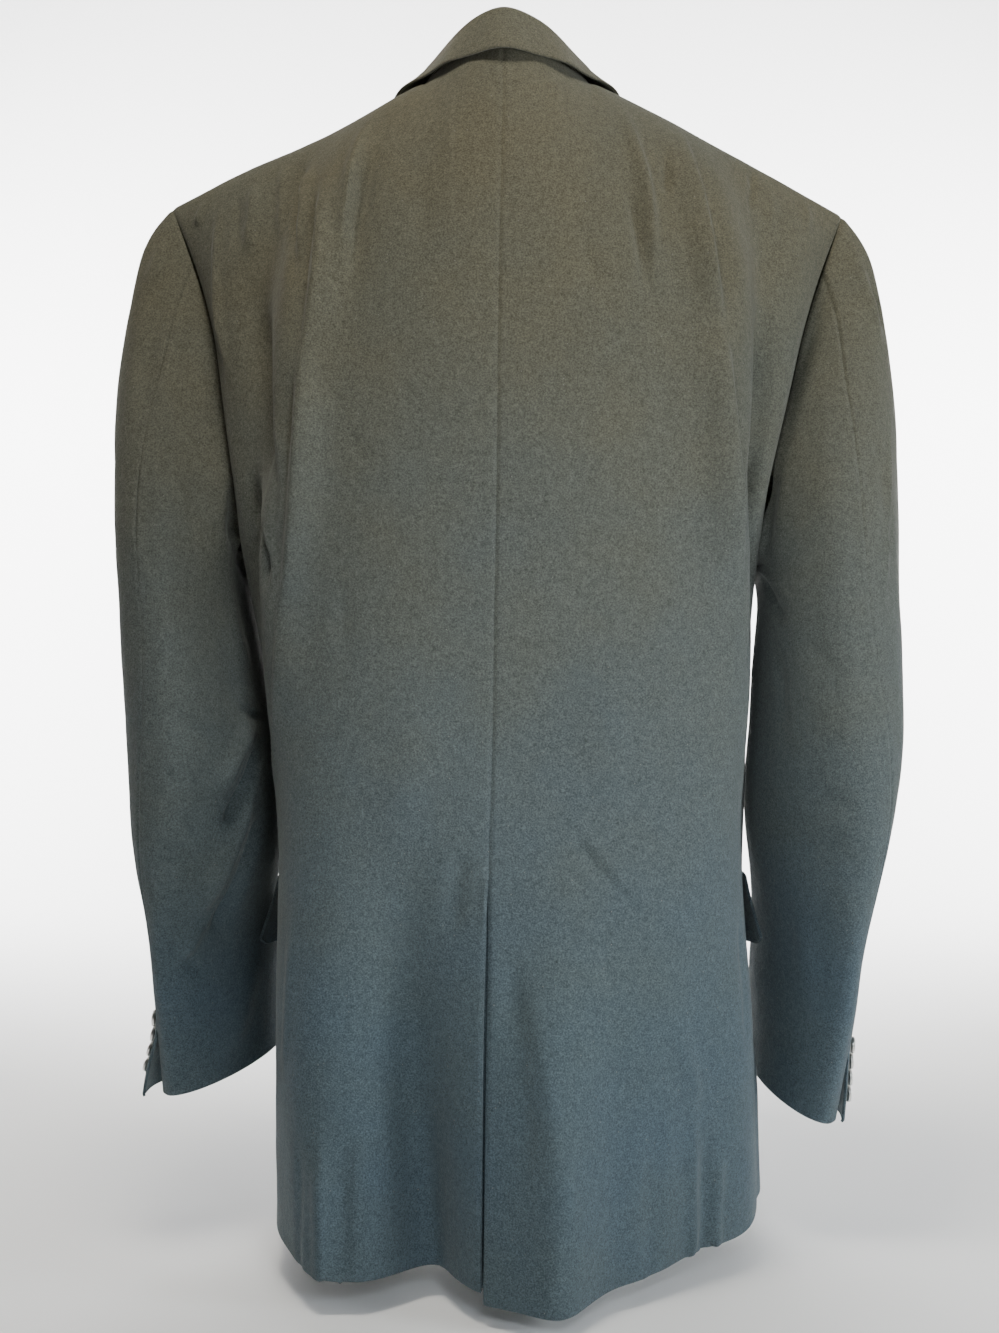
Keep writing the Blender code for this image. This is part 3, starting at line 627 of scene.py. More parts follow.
@dataclass
class Cloth:
    """One cloth piece: a thin shell on its solid's form, with its listed creases.

    Attributes:
        cut: the piece's cut.
        material: its finish.
        sight: the photograph's lines of sight.
        sway: how far the cloth lies unevenly, in metres.
        calm: how far in from an edge it starts to lie unevenly.
        swell_scale: how many slow swells there are in a metre.
        ripple_scale: how many finer ones there are.
        ripple_share: how high those are beside the slow ones.
        ripple_shift: where their pattern starts.
        edge_steps: how far from an edge the closer points there lie.
        edge_room: how much of the last of those is kept free of other points.
    """

    cut: Cut
    material: bpy.types.Material
    sight: Sight
    sway: float = 0.0006
    calm: float = 0.02
    swell_scale: float = 17.0
    ripple_scale: float = 55.0
    ripple_share: float = 0.35
    ripple_shift: tuple[float, float, float] = (7.0, 3.0, 5.0)
    edge_steps: tuple[float, ...] = (0.0004, 0.0010, 0.0018, 0.0029, 0.0042)
    edge_room: float = 1.3

    def build(self) -> bpy.types.Object:
        """Makes the piece and says what it is.

        Returns:
            The finished object.
        """
        rows = NodeGrid(self.cut).rows()
        knots_t = self._knots(rows)
        knots_s = self._knots(rows.transpose(1, 0, 2))
        edges = self.cut.edges
        step_s, step_t = self.cut.steps
        along = self._stations(knots_t[-1], step_t, edges[2:])
        across = self._stations(knots_s[-1], step_s, edges[:2])
        base = np.einsum("ri,ijk,cj->rck", spline(knots_t, along), rows, spline(knots_s, across))
        out = self._normals(base, along, across)
        moved = base + out * self._relief(base, out, along, across)[..., None]
        piece = self._shell(moved, self._normals(moved, along, across), along, across)
        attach(piece, BODY)
        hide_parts(self.cut.node)
        LOG.info("%s: %d by %d points", piece.name, len(along), len(across))
        return piece

    @staticmethod
    def _knots(rows: np.ndarray) -> np.ndarray:
        """Measures how far each row lies from the first, on the whole."""
        steps = np.linalg.norm(np.diff(rows, axis=0), axis=2).mean(axis=1)
        return np.concatenate(([0.0], np.cumsum(steps)))

    def _stations(self, length: float, step: float, edges: tuple[Edge, Edge]) -> np.ndarray:
        """Places the points along one direction, closer together at both edges.

        A seam's edge turns in a little past its solid, so that the two sides of the seam meet.

        Args:
            length: how far the piece runs that way.
            step: how far apart the points are.
            edges: the finishes of its first and last edge.

        Returns:
            The places, from nought to the length.
        """
        count = max(int(length / step), 2)
        even = np.linspace(0.0, length, count + 1)
        room = self.edge_steps[-1] * self.edge_room
        even = even[(even > room) & (even < length - room)]
        first, last = (np.array((-edge.value[2], *self.edge_steps)) for edge in edges)
        return np.concatenate((first, even, length - last[::-1]))

    def _normals(self, points: np.ndarray, along: np.ndarray, across: np.ndarray) -> np.ndarray:
        """Finds the outward direction at each point.

        Args:
            points: the cloth's points.
            along: the rows' places.
            across: the columns' places.

        Returns:
            A unit vector for each point.
        """
        up = np.gradient(points, along, axis=0)
        over = np.gradient(points, across, axis=1)
        out = np.cross(up, over) * self.cut.facing
        return out / np.linalg.norm(out, axis=2, keepdims=True)

    def _relief(self, base: np.ndarray, out: np.ndarray, along: np.ndarray, across: np.ndarray) -> np.ndarray:
        """Adds up the creases, the uneven lie and the pressed edges.

        Args:
            base: the smooth form's points.
            out: its outward directions.
            along: the rows' places.
            across: the columns' places.

        Returns:
            How far each point moves out.
        """
        relief = np.zeros(base.shape[:2])
        for crease in self._creases():
            relief += CreaseLine(crease).heights(base, out)
        inside = ease(self._edge_distance(along, across) / self.calm)
        relief += self.sway * inside * self._unevenness(base)
        ways = (across, across[-1] - across, along, along[-1] - along)
        for number, (edge, away) in enumerate(zip(self.cut.edges, ways)):
            depth, width, _ = edge.value
            pressed = -depth * np.clip(1 - away / width, 0, 1) ** 2
            relief += pressed[None, :] if number < 2 else pressed[:, None]
        return relief

    def _creases(self) -> list[Crease]:
        """Gives the piece's creases, those that the photograph shows first."""
        node = self.cut.node
        seen = [crease.laid(self.sight, node) for crease in SEEN_CREASES.get(node, ())]
        return [*seen, *HIDDEN_CREASES.get(node, ())]

    @staticmethod
    def _edge_distance(along: np.ndarray, across: np.ndarray) -> np.ndarray:
        """Measures how far each point lies from the nearest edge."""
        rows = np.minimum(along, along[-1] - along)
        columns = np.minimum(across, across[-1] - across)
        return np.minimum(rows[:, None], columns[None, :])

    def _unevenness(self, base: np.ndarray) -> np.ndarray:
        """Gives a slow swell and a finer one at each point, about from -1 to 1."""
        flat = base.reshape(-1, 3)
        shift = Vector(self.ripple_shift)
        slow = [noise.noise(Vector(point) * self.swell_scale) for point in flat]
        fine = [noise.noise(Vector(point) * self.ripple_scale + shift) for point in flat]
        return (np.array(slow) + self.ripple_share * np.array(fine)).reshape(base.shape[:2])

    def _shell(
        self, outer: np.ndarray, out: np.ndarray, along: np.ndarray, across: np.ndarray
    ) -> bpy.types.Object:
        """Closes the cloth's two faces into a thin shell.

        Args:
            outer: the outer face's points.
            out: its outward directions.
            along: the rows' places.
            across: the columns' places.

        Returns:
            The shell, with the cloth's grain as its UV map.
        """
        count_t, count_s = outer.shape[:2]
        number = np.arange(count_t * count_s).reshape(count_t, count_s)
        quads = np.stack((number[:-1, :-1], number[1:, :-1], number[1:, 1:], number[:-1, 1:]), -1)
        quads = quads.reshape(-1, 4)
        if self.cut.facing < 0:
            quads = quads[:, ::-1]
        border = np.concatenate(
            (number[:, 0], number[-1, 1:], number[-2::-1, -1], number[0, -2:0:-1])
        )
        ahead = np.roll(border, -1)
        under = count_t * count_s
        rim = np.stack((ahead, border, border + under, ahead + under), -1)
        if self.cut.facing < 0:
            rim = rim[:, ::-1]
        faces = np.concatenate((quads, quads[:, ::-1] + under, rim))
        verts = np.concatenate((outer.reshape(-1, 3), (outer - out * SHELL).reshape(-1, 3)))
        mesh = bpy.data.meshes.new(self.cut.node + "_cloth")
        mesh.from_pydata(verts.tolist(), [], faces.tolist())
        grain = np.stack(np.meshgrid(across, along), -1).reshape(-1, 2)
        grain = np.concatenate((grain, grain))
        corner = np.empty(len(mesh.loops), np.int32)
        mesh.loops.foreach_get("vertex_index", corner)
        mesh.uv_layers.new(name="grain").data.foreach_set("uv", grain[corner].astype(np.float32).reshape(-1))
        mesh.materials.append(self.material)
        piece = bpy.data.objects.new(self.cut.node + "_cloth", mesh)
        bpy.context.scene.collection.objects.link(piece)
        smooth(piece)
        return piece


@dataclass(frozen=True)
class CreaseLine:
    """A crease laid on a cloth's form.

    Attributes:
        crease: its row of the table.
        points: how many points its line has.
        passes: how often the line is smoothed.
        fade: how much of its length each end fades over.
        waver: how unevenly high it is.
        beat: how quickly its height wavers along it.
        drift: how differently creases side by side waver.
        unseen: how far off a point counts that faces away.
    """

    crease: Crease
    points: int = 28
    passes: int = 4
    fade: float = 0.35
    waver: float = 0.18
    beat: float = 9.0
    drift: float = 40.0
    unseen: float = 10.0

    def heights(self, base: np.ndarray, out: np.ndarray) -> np.ndarray:
        """Works out how far the crease moves each point.

        Args:
            base: the smooth form's points.
            out: its outward directions.

        Returns:
            How far each point moves out.
        """
        row = self.crease
        axis = row.view.value[0]
        share = np.linspace(0.0, 1.0, self.points)
        across = row.a0 + (row.a1 - row.a0) * share + row.bow * np.sin(math.pi * share)
        height = row.z0 + (row.z1 - row.z0) * share
        seen = base.reshape(-1, 3)
        away, at = self._from_line(seen, self._line(seen, out.reshape(-1, 3), across, height))
        side = np.sign(seen[:, axis] - np.interp(-seen[:, 2], -height, across))
        width = row.width * (1 + row.lean * side)
        uneven = 1 + self.waver * np.sin(self.beat * at + self.drift * row.a0)
        strength = ease(at / self.fade) * ease((1 - at) / self.fade) * uneven
        return (row.height * strength * np.exp(-((away / width) ** 2))).reshape(base.shape[:2])

    def _line(self, seen: np.ndarray, out: np.ndarray, across: np.ndarray, height: np.ndarray) -> np.ndarray:
        """Drops the crease's line onto the cloth.

        Args:
            seen: the cloth's points.
            out: its outward directions.
            across: how far across each of the line's points is.
            height: the height of each.

        Returns:
            The line's points.
        """
        axis, way = self.crease.view.value
        hidden = np.where(out @ np.array(way) > 0, 0.0, self.unseen)
        gaps = [np.hypot(seen[:, axis] - a, seen[:, 2] - z) + hidden for a, z in zip(across, height)]
        line = np.array([seen[np.argmin(gap)] for gap in gaps])
        for _ in range(self.passes):
            line[1:-1] = (line[:-2] + 2 * line[1:-1] + line[2:]) / 4
        return line

    def _from_line(self, seen: np.ndarray, line: np.ndarray) -> tuple[np.ndarray, np.ndarray]:
        """Measures each point from the line.

        Args:
            seen: the cloth's points.
            line: the line's points.

        Returns:
            How far away each point is, and how far along the line its nearest place is, from 0 to 1.
        """
        away = np.full(len(seen), np.inf)
        at = np.zeros(len(seen))
        for number, (start, run) in enumerate(zip(line[:-1], np.diff(line, axis=0))):
            share = np.clip((seen - start) @ run / max(run @ run, 1e-12), 0.0, 1.0)
            gap = np.linalg.norm(seen - start - share[:, None] * run, axis=1)
            nearer = gap < away
            away[nearer] = gap[nearer]
            at[nearer] = (number + share[nearer]) / (self.points - 1)
        return away, at


def smooth(piece: bpy.types.Object, angle: float = math.radians(50)) -> None:
    """Shades a piece smoothly, with sharp rims.

    Args:
        piece: the object.
        angle: the angle past which an edge stays sharp.
    """
    bpy.ops.object.select_all(action="DESELECT")
    piece.select_set(True)
    bpy.context.view_layer.objects.active = piece
    bpy.ops.object.shade_smooth_by_angle(angle=angle)


@dataclass(frozen=True)
class NodeTree:
    """A material's nodes, added and joined in one line each.

    Attributes:
        material: the material.
    """

    material: bpy.types.Material

    def add(self, kind: str, **settings: object) -> bpy.types.Node:
        """Adds a node.

        Args:
            kind: the node's type.
            settings: its options, and its inputs by name with _ for a space.

        Returns:
            The node.
        """
        node = self.material.node_tree.nodes.new(kind)
        for name, value in settings.items():
            if hasattr(node, name):
                setattr(node, name, value)
            else:
                node.inputs[name.replace("_", " ")].default_value = value
        return node

    def join(self, source: bpy.types.NodeSocket, target: bpy.types.NodeSocket) -> None:
        """Links one socket to another."""
        self.material.node_tree.links.new(source, target)

    def mixed(
        self,
        share: bpy.types.NodeSocket,
        a: object,
        b: object,
        blend: str = "MIX",
    ) -> bpy.types.NodeSocket:
        """Mixes two colours.

        Args:
            share: how much of the second.
            a: the first colour, or a socket.
            b: the second colour, or a socket.
            blend: the way that they mix.

        Returns:
            The mixed colour's socket.
        """
        node = self.material.node_tree.nodes.new("ShaderNodeMix")
        node.data_type = "RGBA"
        node.blend_type = blend
        if isinstance(share, bpy.types.NodeSocket):
            self.join(share, node.inputs["Factor"])
        else:
            node.inputs["Factor"].default_value = share
        for socket, value in ((node.inputs[6], a), (node.inputs[7], b)):
            if isinstance(value, bpy.types.NodeSocket):
                self.join(value, socket)
            else:
                socket.default_value = (*value, 1.0)
        return node.outputs[2]

    def ranged(
        self, value: bpy.types.NodeSocket, low: float, high: float, to_low: float = 0.0, to_high: float = 1.0
    ) -> bpy.types.NodeSocket:
        """Spreads a range of values over another.

        Args:
            value: the socket to read.
            low: the value that becomes to_low.
            high: the value that becomes to_high.
            to_low: the new low value.
            to_high: the new high value.

        Returns:
            The new value's socket.
        """
        node = self.add("ShaderNodeMapRange", From_Min=low, From_Max=high, To_Min=to_low, To_Max=to_high)
        self.join(value, node.inputs["Value"])
        return node.outputs["Result"]


@dataclass(frozen=True)
class WoolFlannel:
    """Soft napped wool: mixed fibres, a hazy nap, a few pale specks, with painted yellowish light at the
    shoulders fading to painted bluish light at the hem.

    Attributes:
        warm_lit_colour: the cloth's colour under painted yellowish light, at the shoulders.
        cool_lit_colour: the cloth's colour under painted bluish light, at the hem.
        warm_light_z: the height where the painted yellowish light is whole.
        cool_light_z: the height where the painted bluish light is whole.
        fibre_scale: how fine its fibres are.
        clump_scale: how fine its tufts are.
        cloud_scale: how fine the patches of its colour are.
        speck_scale: how close its pale specks are.
        band: the part of each texture's range that its tones spread over.
        fibre_tones: its darkest and its palest fibres, beside its colour.
        clump_tones: its darkest and its palest tufts.
        warm_patch: its warmer patches.
        cool_patch: its cooler patches.
        lint: the specks' colour.
        lint_reach: how far from its middle a speck fades out, and where it is whole.
        roughness: how rough it is.
        gloss: how strongly it shines.
        sheen: how strong its haze is.
        sheen_roughness: how widely the haze spreads.
        sheen_tint: the haze's colour.
    """

    warm_lit_colour: tuple[float, float, float] = (0.118, 0.112, 0.080)
    cool_lit_colour: tuple[float, float, float] = (0.076, 0.104, 0.120)
    warm_light_z: float = -0.150
    cool_light_z: float = -0.640
    fibre_scale: float = 950.0
    clump_scale: float = 240.0
    cloud_scale: float = 9.0
    speck_scale: float = 130.0
    band: tuple[float, float] = (0.30, 0.70)
    fibre_tones: tuple[float, float] = (0.54, 1.46)
    clump_tones: tuple[float, float] = (0.88, 1.12)
    warm_patch: tuple[float, float, float] = (1.04, 1.01, 0.95)
    cool_patch: tuple[float, float, float] = (0.94, 0.99, 1.06)
    lint: tuple[float, float, float] = (0.22, 0.22, 0.20)
    lint_reach: tuple[float, float] = (0.055, 0.030)
    roughness: float = 0.92
    gloss: float = 0.18
    sheen: float = 0.16
    sheen_roughness: float = 0.45
    sheen_tint: tuple[float, float, float] = (0.80, 0.82, 0.78)

    def build(self) -> bpy.types.Material:
        """Makes the finish.

        Returns:
            The material.
        """
        material = bpy.data.materials.new("wool_flannel")
        material.use_nodes = True
        tree = NodeTree(material)
        shader = material.node_tree.nodes["Principled BSDF"]
        place = tree.add("ShaderNodeTexCoord").outputs["Object"]
        fibre = tree.add("ShaderNodeTexNoise", Scale=self.fibre_scale, Detail=3.0, Roughness=0.65)
        clump = tree.add("ShaderNodeTexNoise", Scale=self.clump_scale, Detail=3.0, Roughness=0.6)
        cloud = tree.add("ShaderNodeTexNoise", Scale=self.cloud_scale, Detail=4.0, Roughness=0.55)
        speck = tree.add("ShaderNodeTexVoronoi", Scale=self.speck_scale)
        for texture in (fibre, clump, cloud, speck):
            tree.join(place, texture.inputs["Vector"])
        parts = tree.add("ShaderNodeSeparateXYZ")
        tree.join(place, parts.inputs["Vector"])
        # Painted light: the base colour blends by height from painted bluish light at the hem to painted
        # yellowish light at the shoulders.
        height = tree.ranged(parts.outputs["Z"], self.cool_light_z, self.warm_light_z)
        colour = tree.mixed(height, self.cool_lit_colour, self.warm_lit_colour)
        patches = (self.warm_patch, self.cool_patch)
        fibre_tones = [(tone,) * 3 for tone in self.fibre_tones]
        clump_tones = [(tone,) * 3 for tone in self.clump_tones]
        for texture, (low, high) in ((fibre, fibre_tones), (clump, clump_tones), (cloud, patches)):
            tone = tree.mixed(tree.ranged(texture.outputs["Fac"], *self.band), low, high)
            colour = tree.mixed(1.0, colour, tone, "MULTIPLY")
        lint = tree.ranged(speck.outputs["Distance"], *self.lint_reach)
        colour = tree.mixed(lint, colour, self.lint)
        tree.join(colour, shader.inputs["Base Color"])
        self._nap(tree, shader, fibre, clump)
        shader.inputs["Roughness"].default_value = self.roughness
        shader.inputs["Specular IOR Level"].default_value = self.gloss
        shader.inputs["Sheen Weight"].default_value = self.sheen
        shader.inputs["Sheen Roughness"].default_value = self.sheen_roughness
        shader.inputs["Sheen Tint"].default_value = (*self.sheen_tint, 1.0)
        return material

    @staticmethod
    def _nap(
        tree: NodeTree, shader: bpy.types.Node, fibre: bpy.types.Node, clump: bpy.types.Node
    ) -> None:
        """Raises the nap.

        Args:
            tree: the material's nodes.
            shader: its shader.
            fibre: the fibres' texture.
            clump: the tufts' texture.
        """
        tufts = tree.add("ShaderNodeBump", Strength=0.55, Distance=0.0010)
        hairs = tree.add("ShaderNodeBump", Strength=0.60, Distance=0.0005)
        tree.join(clump.outputs["Fac"], tufts.inputs["Height"])
        tree.join(fibre.outputs["Fac"], hairs.inputs["Height"])
        tree.join(tufts.outputs["Normal"], hairs.inputs["Normal"])
        tree.join(hairs.outputs["Normal"], shader.inputs["Normal"])


@dataclass(frozen=True)
class PolishedMetal:
    """Silver-tone button metal, handled and faintly scratched.

    Attributes:
        colour: the metal's colour.
        smudge_tone: how dark a smudge is beside it.
        smudge_scale: how fine the smudges are.
        scratch_scale: how fine the scratches are.
        roughness: how rough it is, from clean to smudged.
    """

    colour: tuple[float, float, float] = (0.88, 0.87, 0.84)
    smudge_tone: float = 0.82
    smudge_scale: float = 420.0
    scratch_scale: float = 2600.0
    roughness: tuple[float, float] = (0.26, 0.42)

    def build(self) -> bpy.types.Material:
        """Makes the finish.

        Returns:
            The material.
        """
        material = bpy.data.materials.new("silver_button")
        material.use_nodes = True
        tree = NodeTree(material)
        shader = material.node_tree.nodes["Principled BSDF"]
        place = tree.add("ShaderNodeTexCoord").outputs["Object"]
        smudge = tree.add("ShaderNodeTexNoise", Scale=self.smudge_scale, Detail=4.0, Roughness=0.6)
        scratch = tree.add("ShaderNodeTexNoise", Scale=self.scratch_scale, Detail=2.0, Roughness=0.5)
        for texture in (smudge, scratch):
            tree.join(place, texture.inputs["Vector"])
        smudged = tuple(self.smudge_tone * c for c in self.colour)
        tone = tree.mixed(tree.ranged(smudge.outputs["Fac"], 0.35, 0.65), smudged, self.colour)
        tree.join(tone, shader.inputs["Base Color"])
        rough = tree.ranged(smudge.outputs["Fac"], 0.3, 0.7, *self.roughness)
        tree.join(rough, shader.inputs["Roughness"])
        bump = tree.add("ShaderNodeBump", Strength=0.12, Distance=0.0002)
        tree.join(scratch.outputs["Fac"], bump.inputs["Height"])
        tree.join(bump.outputs["Normal"], shader.inputs["Normal"])
        shader.inputs["Metallic"].default_value = 1.0
        return material


@dataclass(frozen=True)
class SewingThread:
    """Matt sewing thread, a little darker than the cloth.

    Attributes:
        colour: the thread's colour.
        pale: how much paler the top of its twist is.
        ply_scale: how fine the twist is.
        roughness: how rough it is.
    """

    colour: tuple[float, float, float] = (0.045, 0.048, 0.045)
    pale: float = 1.5
    ply_scale: float = 1800.0
    roughness: float = 0.75

    def build(self) -> bpy.types.Material:
        """Makes the finish.

        Returns:
            The material.
        """
        material = bpy.data.materials.new("sewing_thread")
        material.use_nodes = True
        tree = NodeTree(material)
        shader = material.node_tree.nodes["Principled BSDF"]
        place = tree.add("ShaderNodeTexCoord").outputs["Object"]
        ply = tree.add("ShaderNodeTexNoise", Scale=self.ply_scale, Detail=2.0, Roughness=0.5)
        tree.join(place, ply.inputs["Vector"])
        light = tuple(self.pale * c for c in self.colour)
        tree.join(tree.mixed(ply.outputs["Fac"], self.colour, light), shader.inputs["Base Color"])
        shader.inputs["Roughness"].default_value = self.roughness
        return material


@dataclass
class ClothGroup:
    """Cloth pieces that are made together.

    Attributes:
        material: their finish.
        sight: the photograph's lines of sight.
    """

    material: bpy.types.Material
    sight: Sight

    def cuts(self) -> Iterator[Cut]:
        """Gives the cut of each piece."""
        raise NotImplementedError

    def build(self) -> list[bpy.types.Object]:
        """Makes every piece of the group.

        Returns:
            The finished objects.
        """
        return [Cloth(cut, self.material, self.sight).build() for cut in self.cuts()]


@dataclass
class BodyPanels(ClothGroup):
    """The backs, sides and fronts, and the strip behind the vent."""

    back_flat: tuple[float, float] = (0.29, 0.865)
    side_flat: tuple[float, float] = (0.095, 0.478)
    front_flat: tuple[float, float] = (0.23, 0.890)
    underlap_flat: tuple[float, float] = (0.041, 0.278)

    def cuts(self) -> Iterator[Cut]:
        """Gives the cut of each body panel."""
        seam, free, hidden = Edge.SEAM, Edge.FREE, Edge.HIDDEN
        up = (0.0, 0.0, 1.0)
        for name, side in SIDES.items():
            out = (float(side), 0.0, 0.0)
            back_in = (-float(side), 0.0, 0.0)
            other = "right" if name == "left" else "left"
            yield Cut(
                f"back_{name}", 12, 25, side, out, up, (seam, seam, free, seam),
                self.back_flat, 0.77, (f"back_{other}", f"front_{name}", f"side_{name}"), (0.0017, 0.0038),
            )
            yield Cut(
                f"side_{name}", 4, 13, side, (0.0, -1.0, 0.0), up, (seam, seam, free, seam),
                self.side_flat, 0.85, (f"back_{name}", f"front_{name}"),
            )
            yield Cut(
                f"front_{name}", 10, 22, side, back_in, up, (seam, free, free, seam),
                self.front_flat, 0.78, (f"back_{name}", f"side_{name}"),
            )
        yield Cut(
            "vent_underlap", 2, 8, 1, (1.0, 0.0, 0.0), up, (hidden, hidden, free, hidden),
            self.underlap_flat, 0.85, ("back_left", "back_right"),
        )


@dataclass
class Sleeves(ClothGroup):
    """The top and under sleeves."""

    top_flat: tuple[float, float] = (0.27, 0.66)
    under_flat: tuple[float, float] = (0.20, 0.62)

    def cuts(self) -> Iterator[Cut]:
        """Gives the cut of each half of a sleeve."""
        seam, free = Edge.SEAM, Edge.FREE
        down = (0.0, 0.0, -1.0)
        for name, side in SIDES.items():
            body = (f"back_{name}", f"front_{name}")
            yield Cut(
                f"sleeve_top_{name}", 9, 19, side, (0.0, 1.0, 0.0), down, (seam, seam, seam, free),
                self.top_flat, 0.61, (*body, f"sleeve_under_{name}"), (0.0028, 0.0028),
            )
            yield Cut(
                f"sleeve_under_{name}", 8, 19, side, (0.0, -1.0, 0.0), down, (seam, seam, seam, free),
                self.under_flat, 0.66, (f"side_{name}", f"sleeve_top_{name}"), (0.0024, 0.0028),
            )


@dataclass
class CollarAndLapels(ClothGroup):
    """The collar, folded over its stand, and the two lapels."""

    collar_flat: tuple[float, float] = (0.473, 0.077)
    lapel_flat: tuple[float, float] = (0.40, 0.10)

    def cuts(self) -> Iterator[Cut]:
        """Gives the cut of the collar and of each lapel."""
        free, hidden = Edge.FREE, Edge.HIDDEN
        yield Cut(
            "collar", 24, 10, -1, (1.0, 0.0, 0.0), (0.0, 1.0, 0.0), (free, free, hidden, free),
            self.collar_flat, 0.69, ("back_left", "back_right", "front_left", "front_right"),
            (0.0024, 0.0024),
        )
        for name, side in SIDES.items():
            yield Cut(
                f"lapel_{name}", 11, 7, side, (0.0, 0.0, 1.0), (float(side), 0.0, 0.0),
                (free, free, hidden, free), self.lapel_flat, 0.55, (f"front_{name}",), (0.0026, 0.0026),
            )


@dataclass
class PocketFlaps(ClothGroup):
    """The two pocket flaps, which stand off at their rear corners."""

    flat: tuple[float, float] = (0.175, 0.056)

    def cuts(self) -> Iterator[Cut]:
        """Gives the cut of each flap."""
        free, seam = Edge.FREE, Edge.SEAM
        for name, side in SIDES.items():
            yield Cut(
                f"flap_{name}", 9, 3, -side, (0.0, -1.0, 0.0), (0.0, 0.0, -1.0), (free, free, seam, free),
                self.flat, 0.94, (f"front_{name}", f"side_{name}"), (0.0024, 0.0024),
            )


@dataclass(frozen=True)
class Seat:
    """Where a button sits.

    Attributes:
        node: the solid that it stands for.
        centre: its middle.
        out: the way that it faces.
        radius: its radius.
        depth: how deep it is.
    """

    node: str
    centre: Vector
    out: Vector
    radius: float
    depth: float

    @classmethod
    def of(cls, node: str) -> "Seat":
        """Reads a seat from its solid: its back is its largest flat.

        Args:
            node: the solid's name.

        Returns:
            The seat.
        """
        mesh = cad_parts[node].data
        areas = defaultdict(float)
        for face in mesh.polygons:
            areas[tuple(round(c, 2) for c in face.normal)] += face.area
        out = -Vector(max(areas, key=areas.get)).normalized()
        points = [vert.co for vert in mesh.vertices]
        low, high = (pick(point.dot(out) for point in points) for pick in (min, max))
        middle = sum(points, Vector()) / len(points)
        middle += out * ((low + high) / 2 - middle.dot(out))
        reach = max((point - middle - out * (point - middle).dot(out)).length for point in points)
        return cls(node, middle, out, reach, high - low)


@dataclass
class Buttons:
    """The cuff and front buttons: domed metal with a raised rim, sewn on by a shank.

    Attributes:
        metal: their finish.
        sides: how many sides their round has.
        rim_share: where the rim's inner edge is, as a share of the radius.
        shank_share: how wide the shank is, as a share of the radius.
        body_share: how deep the plain disc is, as a share of the depth.
        rim_rise: how far the rim rises above the disc, as a share of the depth.
        rim_drop: how far it drops inside, as a share of the depth.
        dome: the steps of the dome, each a share of the radius and a rise as a share of the depth.
        bevel_share: how wide its edges are rounded, as a share of the depth.
        shank: how far the shank reaches below the button.
        play: how much smaller than its solid's radius the metal is, so that neighbours stay apart.
    """

    metal: bpy.types.Material
    sides: int = 40
    rim_share: float = 0.80
    shank_share: float = 0.28
    body_share: float = 0.62
    rim_rise: float = 0.10
    rim_drop: float = 0.16
    dome: tuple[tuple[float, float], ...] = ((0.22, 0.14), (0.26, 0.09), (0.18, 0.04))
    bevel_share: float = 0.10
    shank: float = 0.0012
    play: float = 0.00015

    def build(self) -> list[bpy.types.Object]:
        """Makes every button.

        Returns:
            The finished objects.
        """
        names = [node for node in sorted(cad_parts) if "button" in node]
        return [self._button(Seat.of(node)) for node in names]

    def _button(self, seat: Seat) -> bpy.types.Object:
        """Models one button on its seat.

        Args:
            seat: where it sits.

        Returns:
            The finished object.
        """
        bpy.ops.object.select_all(action="DESELECT")
        bpy.ops.mesh.primitive_cylinder_add(
            vertices=self.sides,
            radius=seat.radius - self.play,
            depth=seat.depth * self.body_share,
            end_fill_type="NGON",
        )
        piece = bpy.context.object
        piece.name = seat.node + "_metal"
        bpy.ops.object.mode_set(mode="EDIT")
        bpy.ops.mesh.select_mode(type="FACE")
        self._select_facing(piece, -1.0)
        bpy.ops.mesh.inset(thickness=seat.radius * (1 - self.shank_share))
        bpy.ops.mesh.extrude_region_move(TRANSFORM_OT_translate={"value": (0, 0, -self.shank)})
        self._select_facing(piece, 1.0)
        bpy.ops.mesh.inset(thickness=seat.radius * (1 - self.rim_share) / 2)
        bpy.ops.transform.translate(value=(0, 0, seat.depth * self.rim_rise))
        bpy.ops.mesh.inset(thickness=seat.radius * (1 - self.rim_share) / 2)
        bpy.ops.transform.translate(value=(0, 0, -seat.depth * self.rim_drop))
        for thin, lift in self.dome:
            bpy.ops.mesh.inset(thickness=seat.radius * thin)
            bpy.ops.transform.translate(value=(0, 0, seat.depth * lift))
        bpy.ops.object.mode_set(mode="OBJECT")
        bevel = piece.modifiers.new("rim", "BEVEL")
        bevel.width = seat.depth * self.bevel_share
        bevel.segments = 2
        bevel.limit_method = "ANGLE"
        bpy.ops.object.modifier_apply(modifier=bevel.name)
        turn = seat.out.to_track_quat("Z", "Y").to_matrix().to_4x4()
        piece.data.transform(Matrix.Translation(seat.centre) @ turn)
        piece.data.materials.append(self.metal)
        smooth(piece, math.radians(35))
        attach(piece, BODY)
        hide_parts(seat.node)
        LOG.info("%s at %s", piece.name, tuple(round(c, 3) for c in seat.centre))
        return piece

    @staticmethod
    def _select_facing(piece: bpy.types.Object, way: float) -> None:
        """Selects the flat that points straight up or down.

        Args:
            piece: the object, in edit mode.
            way: 1 for up, -1 for down.
        """
        bpy.ops.mesh.select_all(action="DESELECT")
        bpy.ops.object.mode_set(mode="OBJECT")
        for face in piece.data.polygons:
            face.select = face.normal.z * way > 0.9
        bpy.ops.object.mode_set(mode="EDIT")


